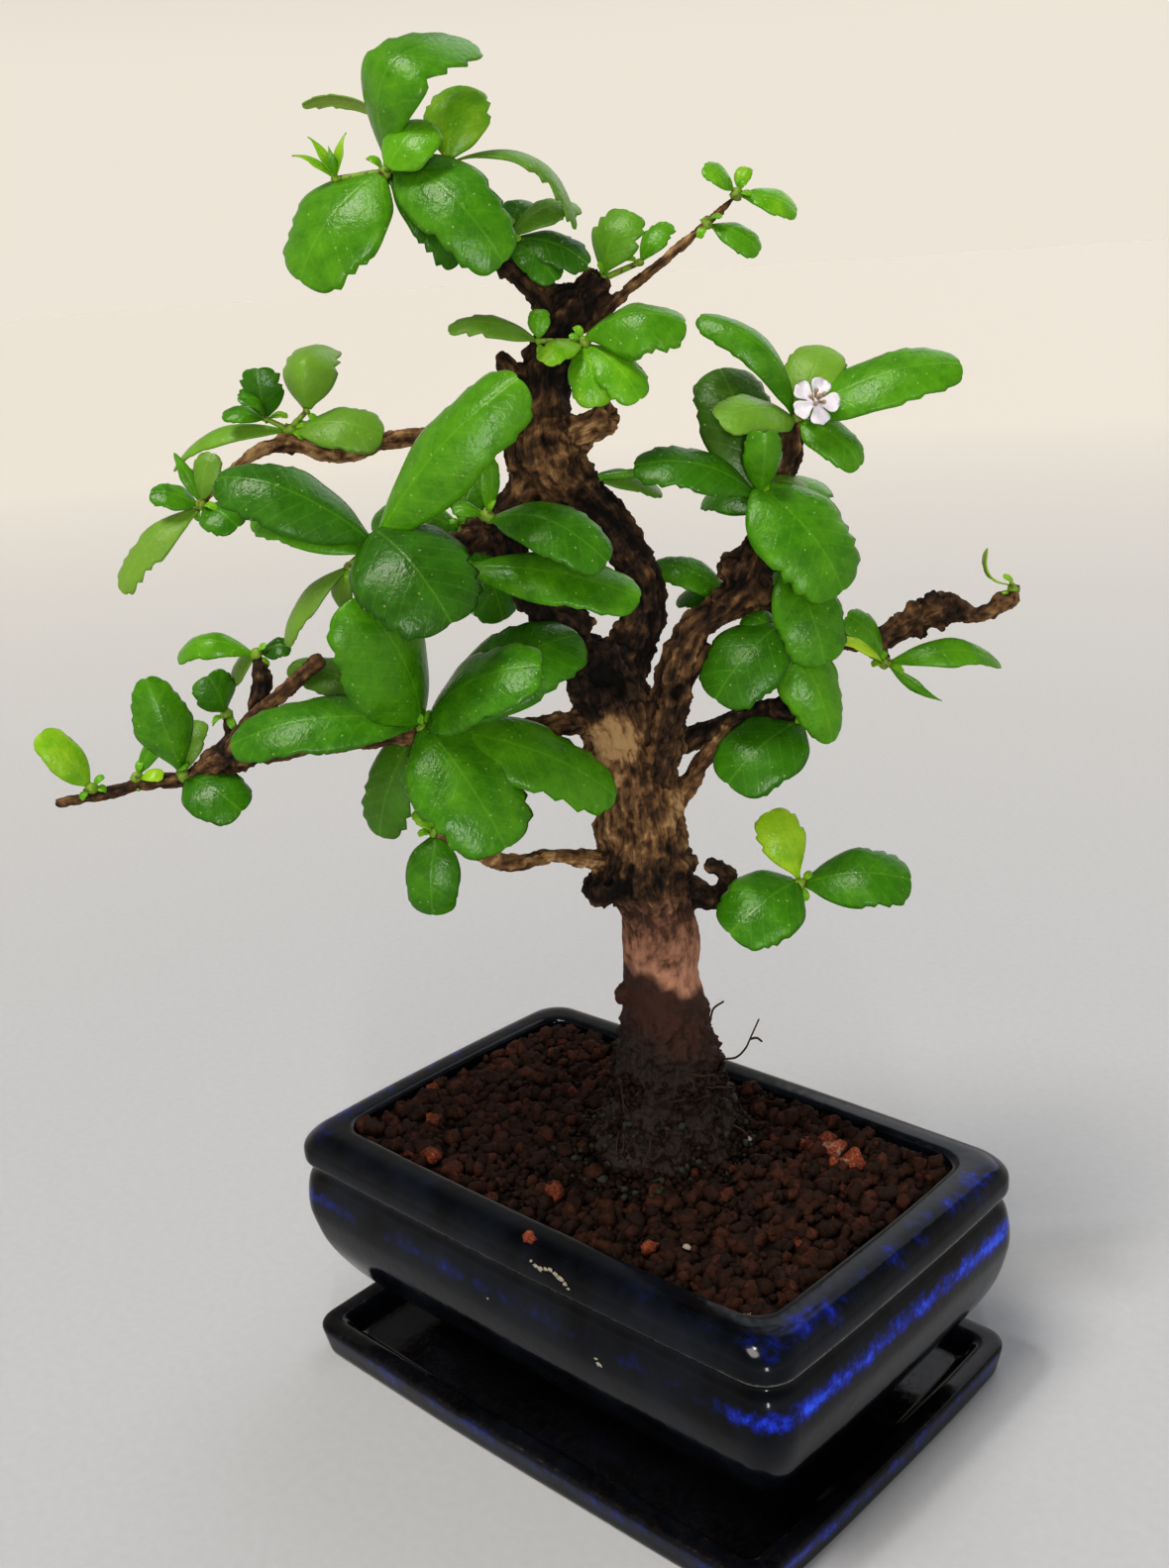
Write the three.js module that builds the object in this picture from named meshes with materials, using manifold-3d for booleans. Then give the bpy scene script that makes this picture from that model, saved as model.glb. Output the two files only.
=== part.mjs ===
// Fukien tea bonsai in a glazed rectangular pot, standing in the pot's matching saucer.
// Millimetres, +Z up. The origin is the centre of the saucer's flat base, X runs along the pot's long side.
// The tree has a frame of its own, turned about Z: u to one side, v across it and z above the saucer's base.
import * as THREE from "three";
import { mergeVertices } from "three/addons/utils/BufferGeometryUtils.js";
import Module from "manifold-3d";

// Driving dimensions of the pot and its saucer
const potLength = 150;
const potWidth = 96;
const rimHeight = 61;
const rimBand = 9.8;
const lipHeight = 8;
const potCorner = 8;
const saucerLength = 143;
const saucerWidth = 102;
const saucerHeight = 8;
const saucerFloor = 3.5;
const saucerRim = 5;
const saucerCorner = 6.5;
const sideBow = 0.8;
const clearance = 0.3;

// Driving dimensions of the feet and the holes under the pot
const footLift = 5;
const footInset = 23;
const footRunLong = 33;
const footRunShort = 15;
const drainRadius = 6;
const drainSpacing = 56;

// Driving dimensions of the soil and the tree
const soilDrop = 2.8;
const moundHeight = 5;
const moundReach = 26;
const granule = 6;
const treeX = 3;
const treeY = 4;
const treeTurn = THREE.MathUtils.degToRad(44);
const bladeThickness = 0.7;
const budRadius = 2.3;
const sideStem = 0.9;

const wasm = await Module();
wasm.setup();

// Turns a three.js geometry into a solid that can be joined and cut.
function solidOf(geometry) {
  const bare = geometry.index ? geometry.clone() : geometry;
  bare.deleteAttribute("normal");
  bare.deleteAttribute("uv");
  const merged = mergeVertices(bare, 1e-4);
  return new wasm.Manifold(
    new wasm.Mesh({
      numProp: 3,
      vertProperties: merged.attributes.position.array,
      triVerts: new Uint32Array(merged.index.array),
    }),
  );
}

// Turns a solid back into a three.js geometry.
function geometryOf(solid) {
  const mesh = solid.getMesh();
  const geometry = new THREE.BufferGeometry();
  geometry.setAttribute("position", new THREE.BufferAttribute(mesh.vertProperties, 3));
  geometry.setIndex(new THREE.BufferAttribute(mesh.triVerts, 1));
  geometry.computeVertexNormals();
  return geometry;
}

function joined(solids) {
  return solids.reduce((sum, next) => sum.add(next));
}

// Keeps the biggest body of a solid and drops the scraps that a cut leaves.
function biggest(solid) {
  const bodies = solid.decompose();
  return bodies.reduce((best, next) => (next.volume() > best.volume() ? next : best));
}

// A closed solid through rings of equally many points, with a flat fan at the first and the last.
function loft(rings) {
  const count = rings[0].length;
  const points = rings.flat();
  const index = [];
  for (let i = 0; i + 1 < rings.length; i++) {
    for (let j = 0; j < count; j++) {
      const a = i * count + j;
      const b = i * count + ((j + 1) % count);
      index.push(a, b, b + count, a, b + count, a + count);
    }
  }
  const last = (rings.length - 1) * count;
  const middleOf = (ring) =>
    ring.reduce((sum, p) => sum.add(p), new THREE.Vector3()).divideScalar(count);
  points.push(middleOf(rings[0]), middleOf(rings[rings.length - 1]));
  for (let j = 0; j < count; j++) {
    const k = (j + 1) % count;
    index.push(points.length - 2, k, j, points.length - 1, last + j, last + k);
  }
  const geometry = new THREE.BufferGeometry().setFromPoints(points);
  geometry.setIndex(index);
  return geometry;
}

// A rounded rectangle whose sides bow out a little, always with the same number of points.
function outline(halfLength, halfWidth, corner, z, bow = sideBow) {
  const ring = [];
  const steps = 3;
  for (let side = 0; side < 4; side++) {
    const sx = side === 0 || side === 3 ? 1 : -1;
    const sy = side < 2 ? 1 : -1;
    for (let i = 0; i <= steps; i++) {
      const angle = (Math.PI / 2) * (side + i / steps);
      const x = sx * (halfLength - corner) + corner * Math.cos(angle);
      const y = sy * (halfWidth - corner) + corner * Math.sin(angle);
      ring.push(new THREE.Vector3(x, y, z));
    }
    if (side % 2 === 0) ring.push(new THREE.Vector3(0, sy * (halfWidth + bow), z));
    else ring.push(new THREE.Vector3(sx * (halfLength + bow), 0, z));
  }
  return ring;
}

// The saucer: a low dish with a flat rim and walls that lean out a little.
function saucerSolid() {
  const halfLength = saucerLength / 2;
  const halfWidth = saucerWidth / 2;
  const lean = 1.2;
  const slope = 2.5;
  const soft = 0.8;
  const level = (inset, z) =>
    outline(halfLength - inset, halfWidth - inset, saucerCorner - inset * 0.6, z);
  return solidOf(
    loft([
      level(lean + soft, 0),
      level(lean, soft),
      level(0, saucerHeight - soft),
      level(soft, saucerHeight),
      level(saucerRim, saucerHeight),
      level(saucerRim + 1, saucerHeight - 1),
      level(saucerRim + slope, saucerFloor),
    ]),
  );
}

// The pot's outside and inside at each height: how far in from the rim's edge, and how high.
const footBottom = saucerFloor + clearance;
const bellyBottom = footBottom + footLift;
const lipBottom = rimHeight - lipHeight;
const potOutside = [
  [21.2, bellyBottom],
  [18, bellyBottom + 1],
  [14, bellyBottom + 4],
  [9.5, bellyBottom + 9],
  [5, bellyBottom + 15.5],
  [1.8, bellyBottom + 22],
  [0.1, bellyBottom + 29],
  [-0.2, bellyBottom + 34],
  [0.4, lipBottom - 5],
  [1.9, lipBottom - 2.4],
  [0.2, lipBottom],
  [0, lipBottom + 3.4],
  [1.4, rimHeight - 2.2],
  [4.6, rimHeight],
];
const potInside = [
  [rimBand - 0.8, rimHeight],
  [rimBand, rimHeight - 0.8],
  [rimBand + 0.3, rimHeight - 17],
  [rimBand + 3.2, rimHeight - 33],
  [rimBand + 13, bellyBottom + 5],
];

function potLevel([inset, z]) {
  const corner = Math.max(3.5, potCorner - inset * 0.12);
  return outline(potLength / 2 - inset, potWidth / 2 - inset, corner, z);
}

// A foot that wraps a corner of the base: an L with a rounded outside, standing in the saucer.
function footSolid(sx, sy) {
  const outerX = potLength / 2 - footInset;
  const outerY = potWidth / 2 - footInset;
  const wide = 7;
  const round = 4;
  const tuck = 3;
  const shape = new THREE.Shape();
  shape.moveTo(sx * (outerX - footRunLong), sy * outerY);
  shape.lineTo(sx * (outerX - footRunLong + tuck), sy * (outerY - wide));
  shape.lineTo(sx * (outerX - wide), sy * (outerY - wide));
  shape.lineTo(sx * (outerX - wide), sy * (outerY - footRunShort + tuck));
  shape.lineTo(sx * outerX, sy * (outerY - footRunShort));
  shape.lineTo(sx * outerX, sy * (outerY - round));
  shape.quadraticCurveTo(sx * outerX, sy * outerY, sx * (outerX - round), sy * outerY);
  const geometry = new THREE.ExtrudeGeometry(shape, {
    depth: footLift + 2,
    bevelEnabled: false,
    curveSegments: 3,
  });
  geometry.translate(0, 0, footBottom);
  return solidOf(geometry);
}

function drainSolid(x) {
  const geometry = new THREE.CylinderGeometry(drainRadius, drainRadius, 30, 16);
  geometry.rotateX(Math.PI / 2);
  geometry.translate(x, 0, bellyBottom);
  return solidOf(geometry);
}

function potSolid() {
  const body = solidOf(loft([...potOutside, ...potInside].map(potLevel)));
  const feet = [
    [1, 1],
    [1, -1],
    [-1, 1],
    [-1, -1],
  ].map(([sx, sy]) => footSolid(sx, sy));
  const drains = [drainSolid(drainSpacing / 2), drainSolid(-drainSpacing / 2)];
  return joined([body, ...feet]).subtract(joined(drains));
}

// A repeatable draw between 0 and 1 for the granule at column i and row j.
function draw(i, j) {
  const wave = Math.sin(i * 127.1 + j * 311.7) * 43758.5453;
  return wave - Math.floor(wave);
}

// The soil fills the pot. Its top is a field of granules that rises to a mound round the trunk.
function soilSolid(cut) {
  const columns = Math.round((potLength - 10) / granule);
  const rows = Math.round((potWidth - 10) / granule);
  const top = rimHeight - soilDrop;
  const floor = bellyBottom + 5 + clearance;
  const points = [];
  const index = [];
  const stride = columns + 1;
  const shift = new THREE.Vector2(treeX, treeY);
  for (const layer of [0, 1]) {
    for (let j = 0; j <= rows; j++) {
      for (let i = 0; i <= columns; i++) {
        const x = (i - columns / 2) * granule;
        const y = (j - rows / 2) * granule;
        const away = shift.distanceTo(new THREE.Vector2(x, y)) / moundReach;
        const mound = moundHeight * Math.exp(-away * away);
        const bump = ((i + j) % 2 ? 1.2 : -0.6) + 1.3 * draw(i, j);
        points.push(new THREE.Vector3(x, y, layer ? top + mound + bump : floor));
      }
    }
  }
  const above = points.length / 2;
  for (let j = 0; j < rows; j++) {
    for (let i = 0; i < columns; i++) {
      const a = j * stride + i;
      const b = a + 1;
      const c = a + stride;
      const d = c + 1;
      index.push(a, d, b, a, c, d);
      index.push(above + a, above + b, above + d, above + a, above + d, above + c);
    }
  }
  const edge = [];
  for (let i = 0; i < columns; i++) edge.push(i);
  for (let j = 0; j < rows; j++) edge.push(j * stride + columns);
  for (let i = columns; i > 0; i--) edge.push(rows * stride + i);
  for (let j = rows; j > 0; j--) edge.push(j * stride);
  edge.forEach((a, n) => {
    const b = edge[(n + 1) % edge.length];
    index.push(a, b, above + b, a, above + b, above + a);
  });
  const field = new THREE.BufferGeometry().setFromPoints(points);
  field.setIndex(index);
  const inside = [...potInside].reverse().map(([inset, z]) => [inset + clearance, z]);
  inside[0][1] = floor;
  inside[inside.length - 1][1] = rimHeight + 2;
  const hollow = solidOf(loft([...inside, [rimBand + clearance, rimHeight + 20]].map(potLevel)));
  return biggest(solidOf(field).intersect(hollow).subtract(cut));
}

// The wood. Each limb is a list of stations: u, v, z and the radius there.
const mainStem = [
  [0, 0, 30, 6],
  [1, 0, 46, 12],
  [2, 0, 57, 18.5],
  [3, 0, 66, 17],
  [3, 0, 75, 13.8],
  [3, 0, 85, 11.6],
  [3, 0, 95, 10],
  [2.5, 0, 104, 8.8],
  [3, 0, 112, 9.1],
  [2.5, 0, 120, 8.4],
  [1.5, 0, 125, 9],
  [0, 0, 130, 10.8],
  [0, 0, 136, 10.3],
  [-0.5, 0, 146, 10],
  [-1.5, 0, 157, 8.8],
  [-4, 0, 167, 9.2],
  [-7, 0, 176, 8],
  [-9, 0, 182, 5],
];
const limbs = {
  rightStem: [
    [-6, 0, 170, 5.5],
    [0, 0, 181, 5],
    [4, 0, 192, 4.4],
    [1, 0, 202, 4.5],
    [-5, 1, 212, 4.6],
    [-13, 0, 220, 7],
    [-16, 0, 227, 7.8],
    [-15, 0, 235, 5.6],
    [-13.5, 0, 242, 5.4],
    [-11, 0, 248, 4.6],
    [-8.5, 0, 253.5, 4.8],
  ],
  leftStem: [
    [-9, 0, 176, 4.5],
    [-17, -3, 190, 4],
    [-23, -4, 201, 4],
    [-25, -3, 209, 4.4],
    [-20, -1, 217, 4.6],
    [-16, 0, 224, 5],
  ],
  rightLimb: [
    [2, 0, 154, 5],
    [5, -2, 169, 4.6],
    [9, -3, 180, 3.9],
    [14, -3, 186.5, 3.2],
    [20, -3, 190, 3.3],
    [26, -4, 196, 6],
    [29, -5, 205, 4.3],
    [32.5, -5, 214, 2.8],
    [35.5, -4, 222, 2.9],
    [37, -4, 228, 1.3],
  ],
  brokenStub: [
    [8, -2, 172, 2.4],
    [12, -3, 177, 2],
    [15, -3, 180.5, 1.5],
  ],
  lowerRight: [
    [4, 0, 158, 3],
    [16, -2, 162, 2.3],
    [26, -4, 166, 2.4],
    [33, -6, 168, 2.8],
    [34, -8, 175, 2],
    [32, -8, 183, 1.3],
  ],
  lowerRightEnd: [
    [31, -6, 168, 2.2],
    [35, -6, 163, 1.4],
  ],
  lowStrut: [
    [6, 0, 142, 3],
    [13, -1, 153, 2.2],
    [20, -3, 163, 1.9],
  ],
  lowKnob: [
    [7, 0, 126, 3.5],
    [14, 0, 122, 3],
    [19, 0, 123, 2.8],
    [22, -1, 123, 1.6],
  ],
  hook: [
    [17, 0, 122, 2.4],
    [19, 0, 127, 2.2],
    [15, 0, 130, 1.9],
  ],
  trioTwig: [
    [19, 0, 122, 1.8],
    [27, -3, 121, 1.3],
    [34, -8, 126.6, 1.1],
  ],
  farRight: [
    [25, -3, 193, 3],
    [41, 8, 180, 2.4],
    [57, 15, 176, 2.6],
    [65, 17, 179.5, 3.3],
    [72, 17, 182, 3.8],
    [80, 18, 179.5, 1.7],
    [87, 18, 182.5, 2.4],
    [88.5, 18, 184, 1.6],
  ],
  farRightSpur: [
    [57, 14, 176, 1.8],
    [58, 12.6, 172, 1.2],
  ],
  lowTwig: [
    [-6, -2, 133, 3],
    [-20, -9, 138, 1.6],
    [-29, -14, 138.6, 2],
    [-37, -18, 143, 1.3],
    [-44, -20, 148.6, 1.1],
  ],
  leftBough: [
    [-6, 0, 166, 4],
    [-24, -12, 168, 2.8],
    [-36, -18, 170, 2.4],
    [-46, -20, 171, 2.2],
    [-66, -16, 169, 2],
    [-80, -11, 167, 2.6],
    [-87, -10, 166.5, 4.2],
    [-93, -9, 164, 2.6],
    [-98, -8, 161.5, 1.9],
    [-107, -8, 161, 1.6],
    [-118, -8, 159, 1.5],
    [-127, -8, 158, 1.1],
  ],
  leftBoughUp: [
    [-87, -10, 166, 2.8],
    [-85, -10, 171, 2.3],
    [-80, -9, 176, 2],
    [-73, -8, 181.5, 1.9],
    [-66, -8, 187, 2],
  ],
  leftBoughBud: [
    [-82, -9, 175, 2],
    [-79.5, -7, 181, 2.9],
    [-80, -6, 186.4, 1.3],
  ],
  leftSpur: [
    [-87, -10, 168, 2],
    [-88, -6, 173.5, 1.1],
  ],
  upperBough: [
    [-15, 0, 228, 4],
    [-25, 1, 229.5, 2.8],
    [-36, 6, 229.5, 2.4],
    [-48, 9, 229, 2.3],
    [-59, 10, 226, 2.1],
    [-70, 10, 229.5, 2.6],
    [-80, 9.5, 227, 1.4],
    [-90, 8, 218.5, 1.1],
  ],
  frontBough: [
    [-23, -2, 208, 3.6],
    [-33, -9, 209, 2.5],
    [-43, -20, 208, 2],
    [-50, -26, 211.6, 1.3],
  ],
  middleSpur: [
    [-25, -4, 209, 2.4],
    [-28, -13.6, 213.6, 1.3],
  ],
  lowSpur: [
    [-31, -8, 209, 2],
    [-35, -14.6, 205.4, 1.2],
  ],
  cutStub: [
    [-15, 0, 226, 4],
    [-8, -2, 229, 3.4],
    [-2, -4, 231.5, 3.1],
  ],
  leftArm: [
    [-9, 0, 250, 4],
    [-14, 0, 257, 3.2],
    [-20, -3, 263, 2.6],
    [-32, -8, 272, 1.7],
    [-41.6, -12, 280.6, 1.2],
  ],
  leftArmSpur: [
    [-18.6, -2, 262, 1.8],
    [-20, -4, 267.6, 1.2],
  ],
  rightArm: [
    [-9, 0, 251, 4.2],
    [-5, 1, 255.5, 3.8],
    [-2, 2, 258.4, 3],
  ],
  topTwig: [
    [-5, 0, 250, 1.8],
    [5, 3, 257, 1.2],
    [18, 5, 266, 1],
    [27, 6, 272.8, 0.8],
  ],
  frontSpur: [
    [-10, 0, 246, 2.2],
    [-6.4, -10.6, 247, 1.3],
  ],
  brownBud: [
    [-14, 0, 240, 2.6],
    [-20, -2, 241, 2.6],
    [-23, -4, 245, 2],
  ],
  rightSpur: [
    [30, -5, 208, 2],
    [28, -11.6, 213.6, 1.2],
  ],
  forkSpur: [
    [25, -2, 191, 2],
    [24, 5, 188.4, 1.2],
  ],
  backLeft: [
    [-20, 0, 214, 3],
    [-28, 12, 210, 2.1],
    [-35, 21, 207, 1.3],
  ],
  backRight: [
    [27, -4, 198, 2.6],
    [30, 8, 200, 1.9],
    [33, 18, 205, 1.2],
  ],
};

// Knots and scars on the trunk: centre, half-sizes along u, v and z.
const burrs = [
  { at: [-6, -5.6, 175.5], size: [7.4, 3.4, 8.4], detail: 1 },
  { at: [-9, -4, 128], size: [4.5, 5, 4] },
  { at: [7, -3, 131], size: [5, 6, 4] },
  { at: [0, 8, 131], size: [8, 4.5, 4] },
  { at: [-8, -3, 158], size: [4, 6, 5] },
  { at: [-13, -3, 189], size: [5, 4, 5] },
  { at: [26, -4, 201], size: [6, 5, 7], detail: 1 },
  { at: [-20, -2, 225], size: [4.5, 5, 5] },
  { at: [-8, 1, 256], size: [4, 4, 3] },
];

// Bark furrows: a share of the radius, from a few waves round and along the limb.
function furrow(angle, along) {
  return (
    0.5 * Math.sin(3 * angle + 1.7 * along) +
    0.35 * Math.sin(5 * angle - 2.3 * along + 1) +
    0.3 * Math.sin(4.1 * along + 2 * angle)
  );
}

// A limb: a cylinder bent along a smooth curve through its stations and swelled to its radii.
function limbSolid(stations, sides, furrows, grow) {
  const steps = stations.length - 1;
  const curve = new THREE.CatmullRomCurve3(
    stations.map(([u, v, z]) => new THREE.Vector3(u, v, z)),
    false,
    "catmullrom",
    0.5,
  );
  const frames = [];
  let across = new THREE.Vector3(0.3, 1, 0.1);
  for (let i = 0; i <= steps; i++) {
    const along = curve.getTangent(i / steps);
    across = across.clone().addScaledVector(along, -across.dot(along)).normalize();
    const up = along.clone().cross(across);
    frames.push({ at: curve.getPoint(i / steps), across, up, radius: stations[i][3] });
  }
  const geometry = new THREE.CylinderGeometry(1, 1, 1, sides, steps);
  const position = geometry.attributes.position;
  const point = new THREE.Vector3();
  for (let i = 0; i < position.count; i++) {
    point.fromBufferAttribute(position, i);
    const step = Math.round((point.y + 0.5) * steps);
    const frame = frames[step];
    const angle = Math.atan2(point.x, point.z);
    const reach = Math.hypot(point.x, point.z);
    const rough = 1 + furrows * furrow(angle, step);
    const radius = reach * (frame.radius * rough + grow);
    const placed = frame.at
      .clone()
      .addScaledVector(frame.across, Math.sin(angle) * radius)
      .addScaledVector(frame.up, -Math.cos(angle) * radius);
    position.setXYZ(i, placed.x, placed.y, placed.z);
  }
  return solidOf(geometry);
}

// A lump of wood or a bud: a faceted ball stretched to its half-sizes.
function lumpSolid(at, size, grow = 0, detail = 0) {
  const geometry = new THREE.IcosahedronGeometry(1, detail);
  geometry.scale(size[0] + grow, size[1] + grow, size[2] + grow);
  geometry.translate(...at);
  return solidOf(geometry);
}

// The trunk and every woody branch, grown as one. A swollen copy cuts what has to stay clear of it.
function woodSolid(grow = 0) {
  const thick = limbSolid(mainStem, 12, 0.07, grow);
  const branches = Object.values(limbs).map((stations) => {
    const stout = Math.max(...stations.map((station) => station[3])) > 4.2;
    return limbSolid(stations, stout ? 8 : 5, stout ? 0.1 : 0.07, grow);
  });
  const knots = burrs.map((burr) => lumpSolid(burr.at, burr.size, grow, burr.detail));
  return joined([thick, ...branches, ...knots]);
}

// Half a blade's outline: the share of its length, then of its half-width. A grown leaf has a
// toothed tip and a young one a plain round tip.
const grownBlade = [
  [0, 0.1],
  [0.33, 0.68],
  [0.68, 1],
  [0.88, 0.8],
  [1, 0.32],
];
const youngBlade = [
  [0, 0.15],
  [0.4, 0.75],
  [0.78, 1],
  [1, 0.35],
];
const youngLength = 18;
const edgeDrop = 0.22;
const towardsLight = new THREE.Vector3(0, -0.62, 0.78);

// A leaf from a knot: the way it points (clock in the u-z plane, lean to -v), its length and width,
// how far its middle arches over the chord as a share of the length, and its roll about its own line.
function leafSolid(knot, depth, [clock, lean, length, width, arch = 0.12, roll = 0]) {
  const turn = THREE.MathUtils.degToRad(clock);
  const tilt = THREE.MathUtils.degToRad(lean);
  const along = new THREE.Vector3(
    Math.cos(turn) * Math.cos(tilt),
    -Math.sin(tilt),
    Math.sin(turn) * Math.cos(tilt),
  );
  const face = towardsLight.clone().addScaledVector(along, -towardsLight.dot(along)).normalize();
  face.applyAxisAngle(along, THREE.MathUtils.degToRad(roll));
  const side = face.clone().cross(along);
  const start = new THREE.Vector3(...knot).addScaledVector(along, depth);
  const blade = length < youngLength ? youngBlade : grownBlade;
  const reachOut = length - depth;
  const points = [];
  for (const [share, reach] of blade) {
    const rise = 4 * arch * length * share * (1 - share);
    const slope = 4 * arch * (1 - 2 * share);
    const normal = face.clone().addScaledVector(along, -slope).normalize();
    const middle = start
      .clone()
      .addScaledVector(along, share * reachOut)
      .addScaledVector(face, rise);
    for (const hand of [-1, 0, 1]) {
      const out = (hand * reach * width) / 2;
      const drop = hand === 0 ? 0 : (edgeDrop * reach * width) / 2;
      const at = middle.clone().addScaledVector(side, out).addScaledVector(normal, -drop);
      points.push(at.clone().addScaledVector(normal, bladeThickness / 2));
      points.push(at.clone().addScaledVector(normal, -bladeThickness / 2));
    }
  }
  return solidOf(bladeGeometry(points, blade.length));
}

// Closes a blade over its stations. Each holds left, middle and right, on the face and on the back.
function bladeGeometry(points, stations) {
  const index = [];
  const quad = (a, b, c, d) => index.push(a, b, c, a, c, d);
  for (let i = 0; i + 1 < stations; i++) {
    const here = i * 6;
    const next = here + 6;
    quad(here, next, next + 2, here + 2);
    quad(here + 2, next + 2, next + 4, here + 4);
    quad(here + 1, here + 3, next + 3, next + 1);
    quad(here + 3, here + 5, next + 5, next + 3);
    quad(here + 1, next + 1, next, here);
    quad(here + 4, next + 4, next + 5, here + 5);
  }
  const last = (stations - 1) * 6;
  quad(0, 2, 3, 1);
  quad(2, 4, 5, 3);
  quad(last + 1, last + 3, last + 2, last);
  quad(last + 3, last + 5, last + 4, last + 2);
  const geometry = new THREE.BufferGeometry().setFromPoints(points);
  geometry.setIndex(index);
  return geometry;
}

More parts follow.
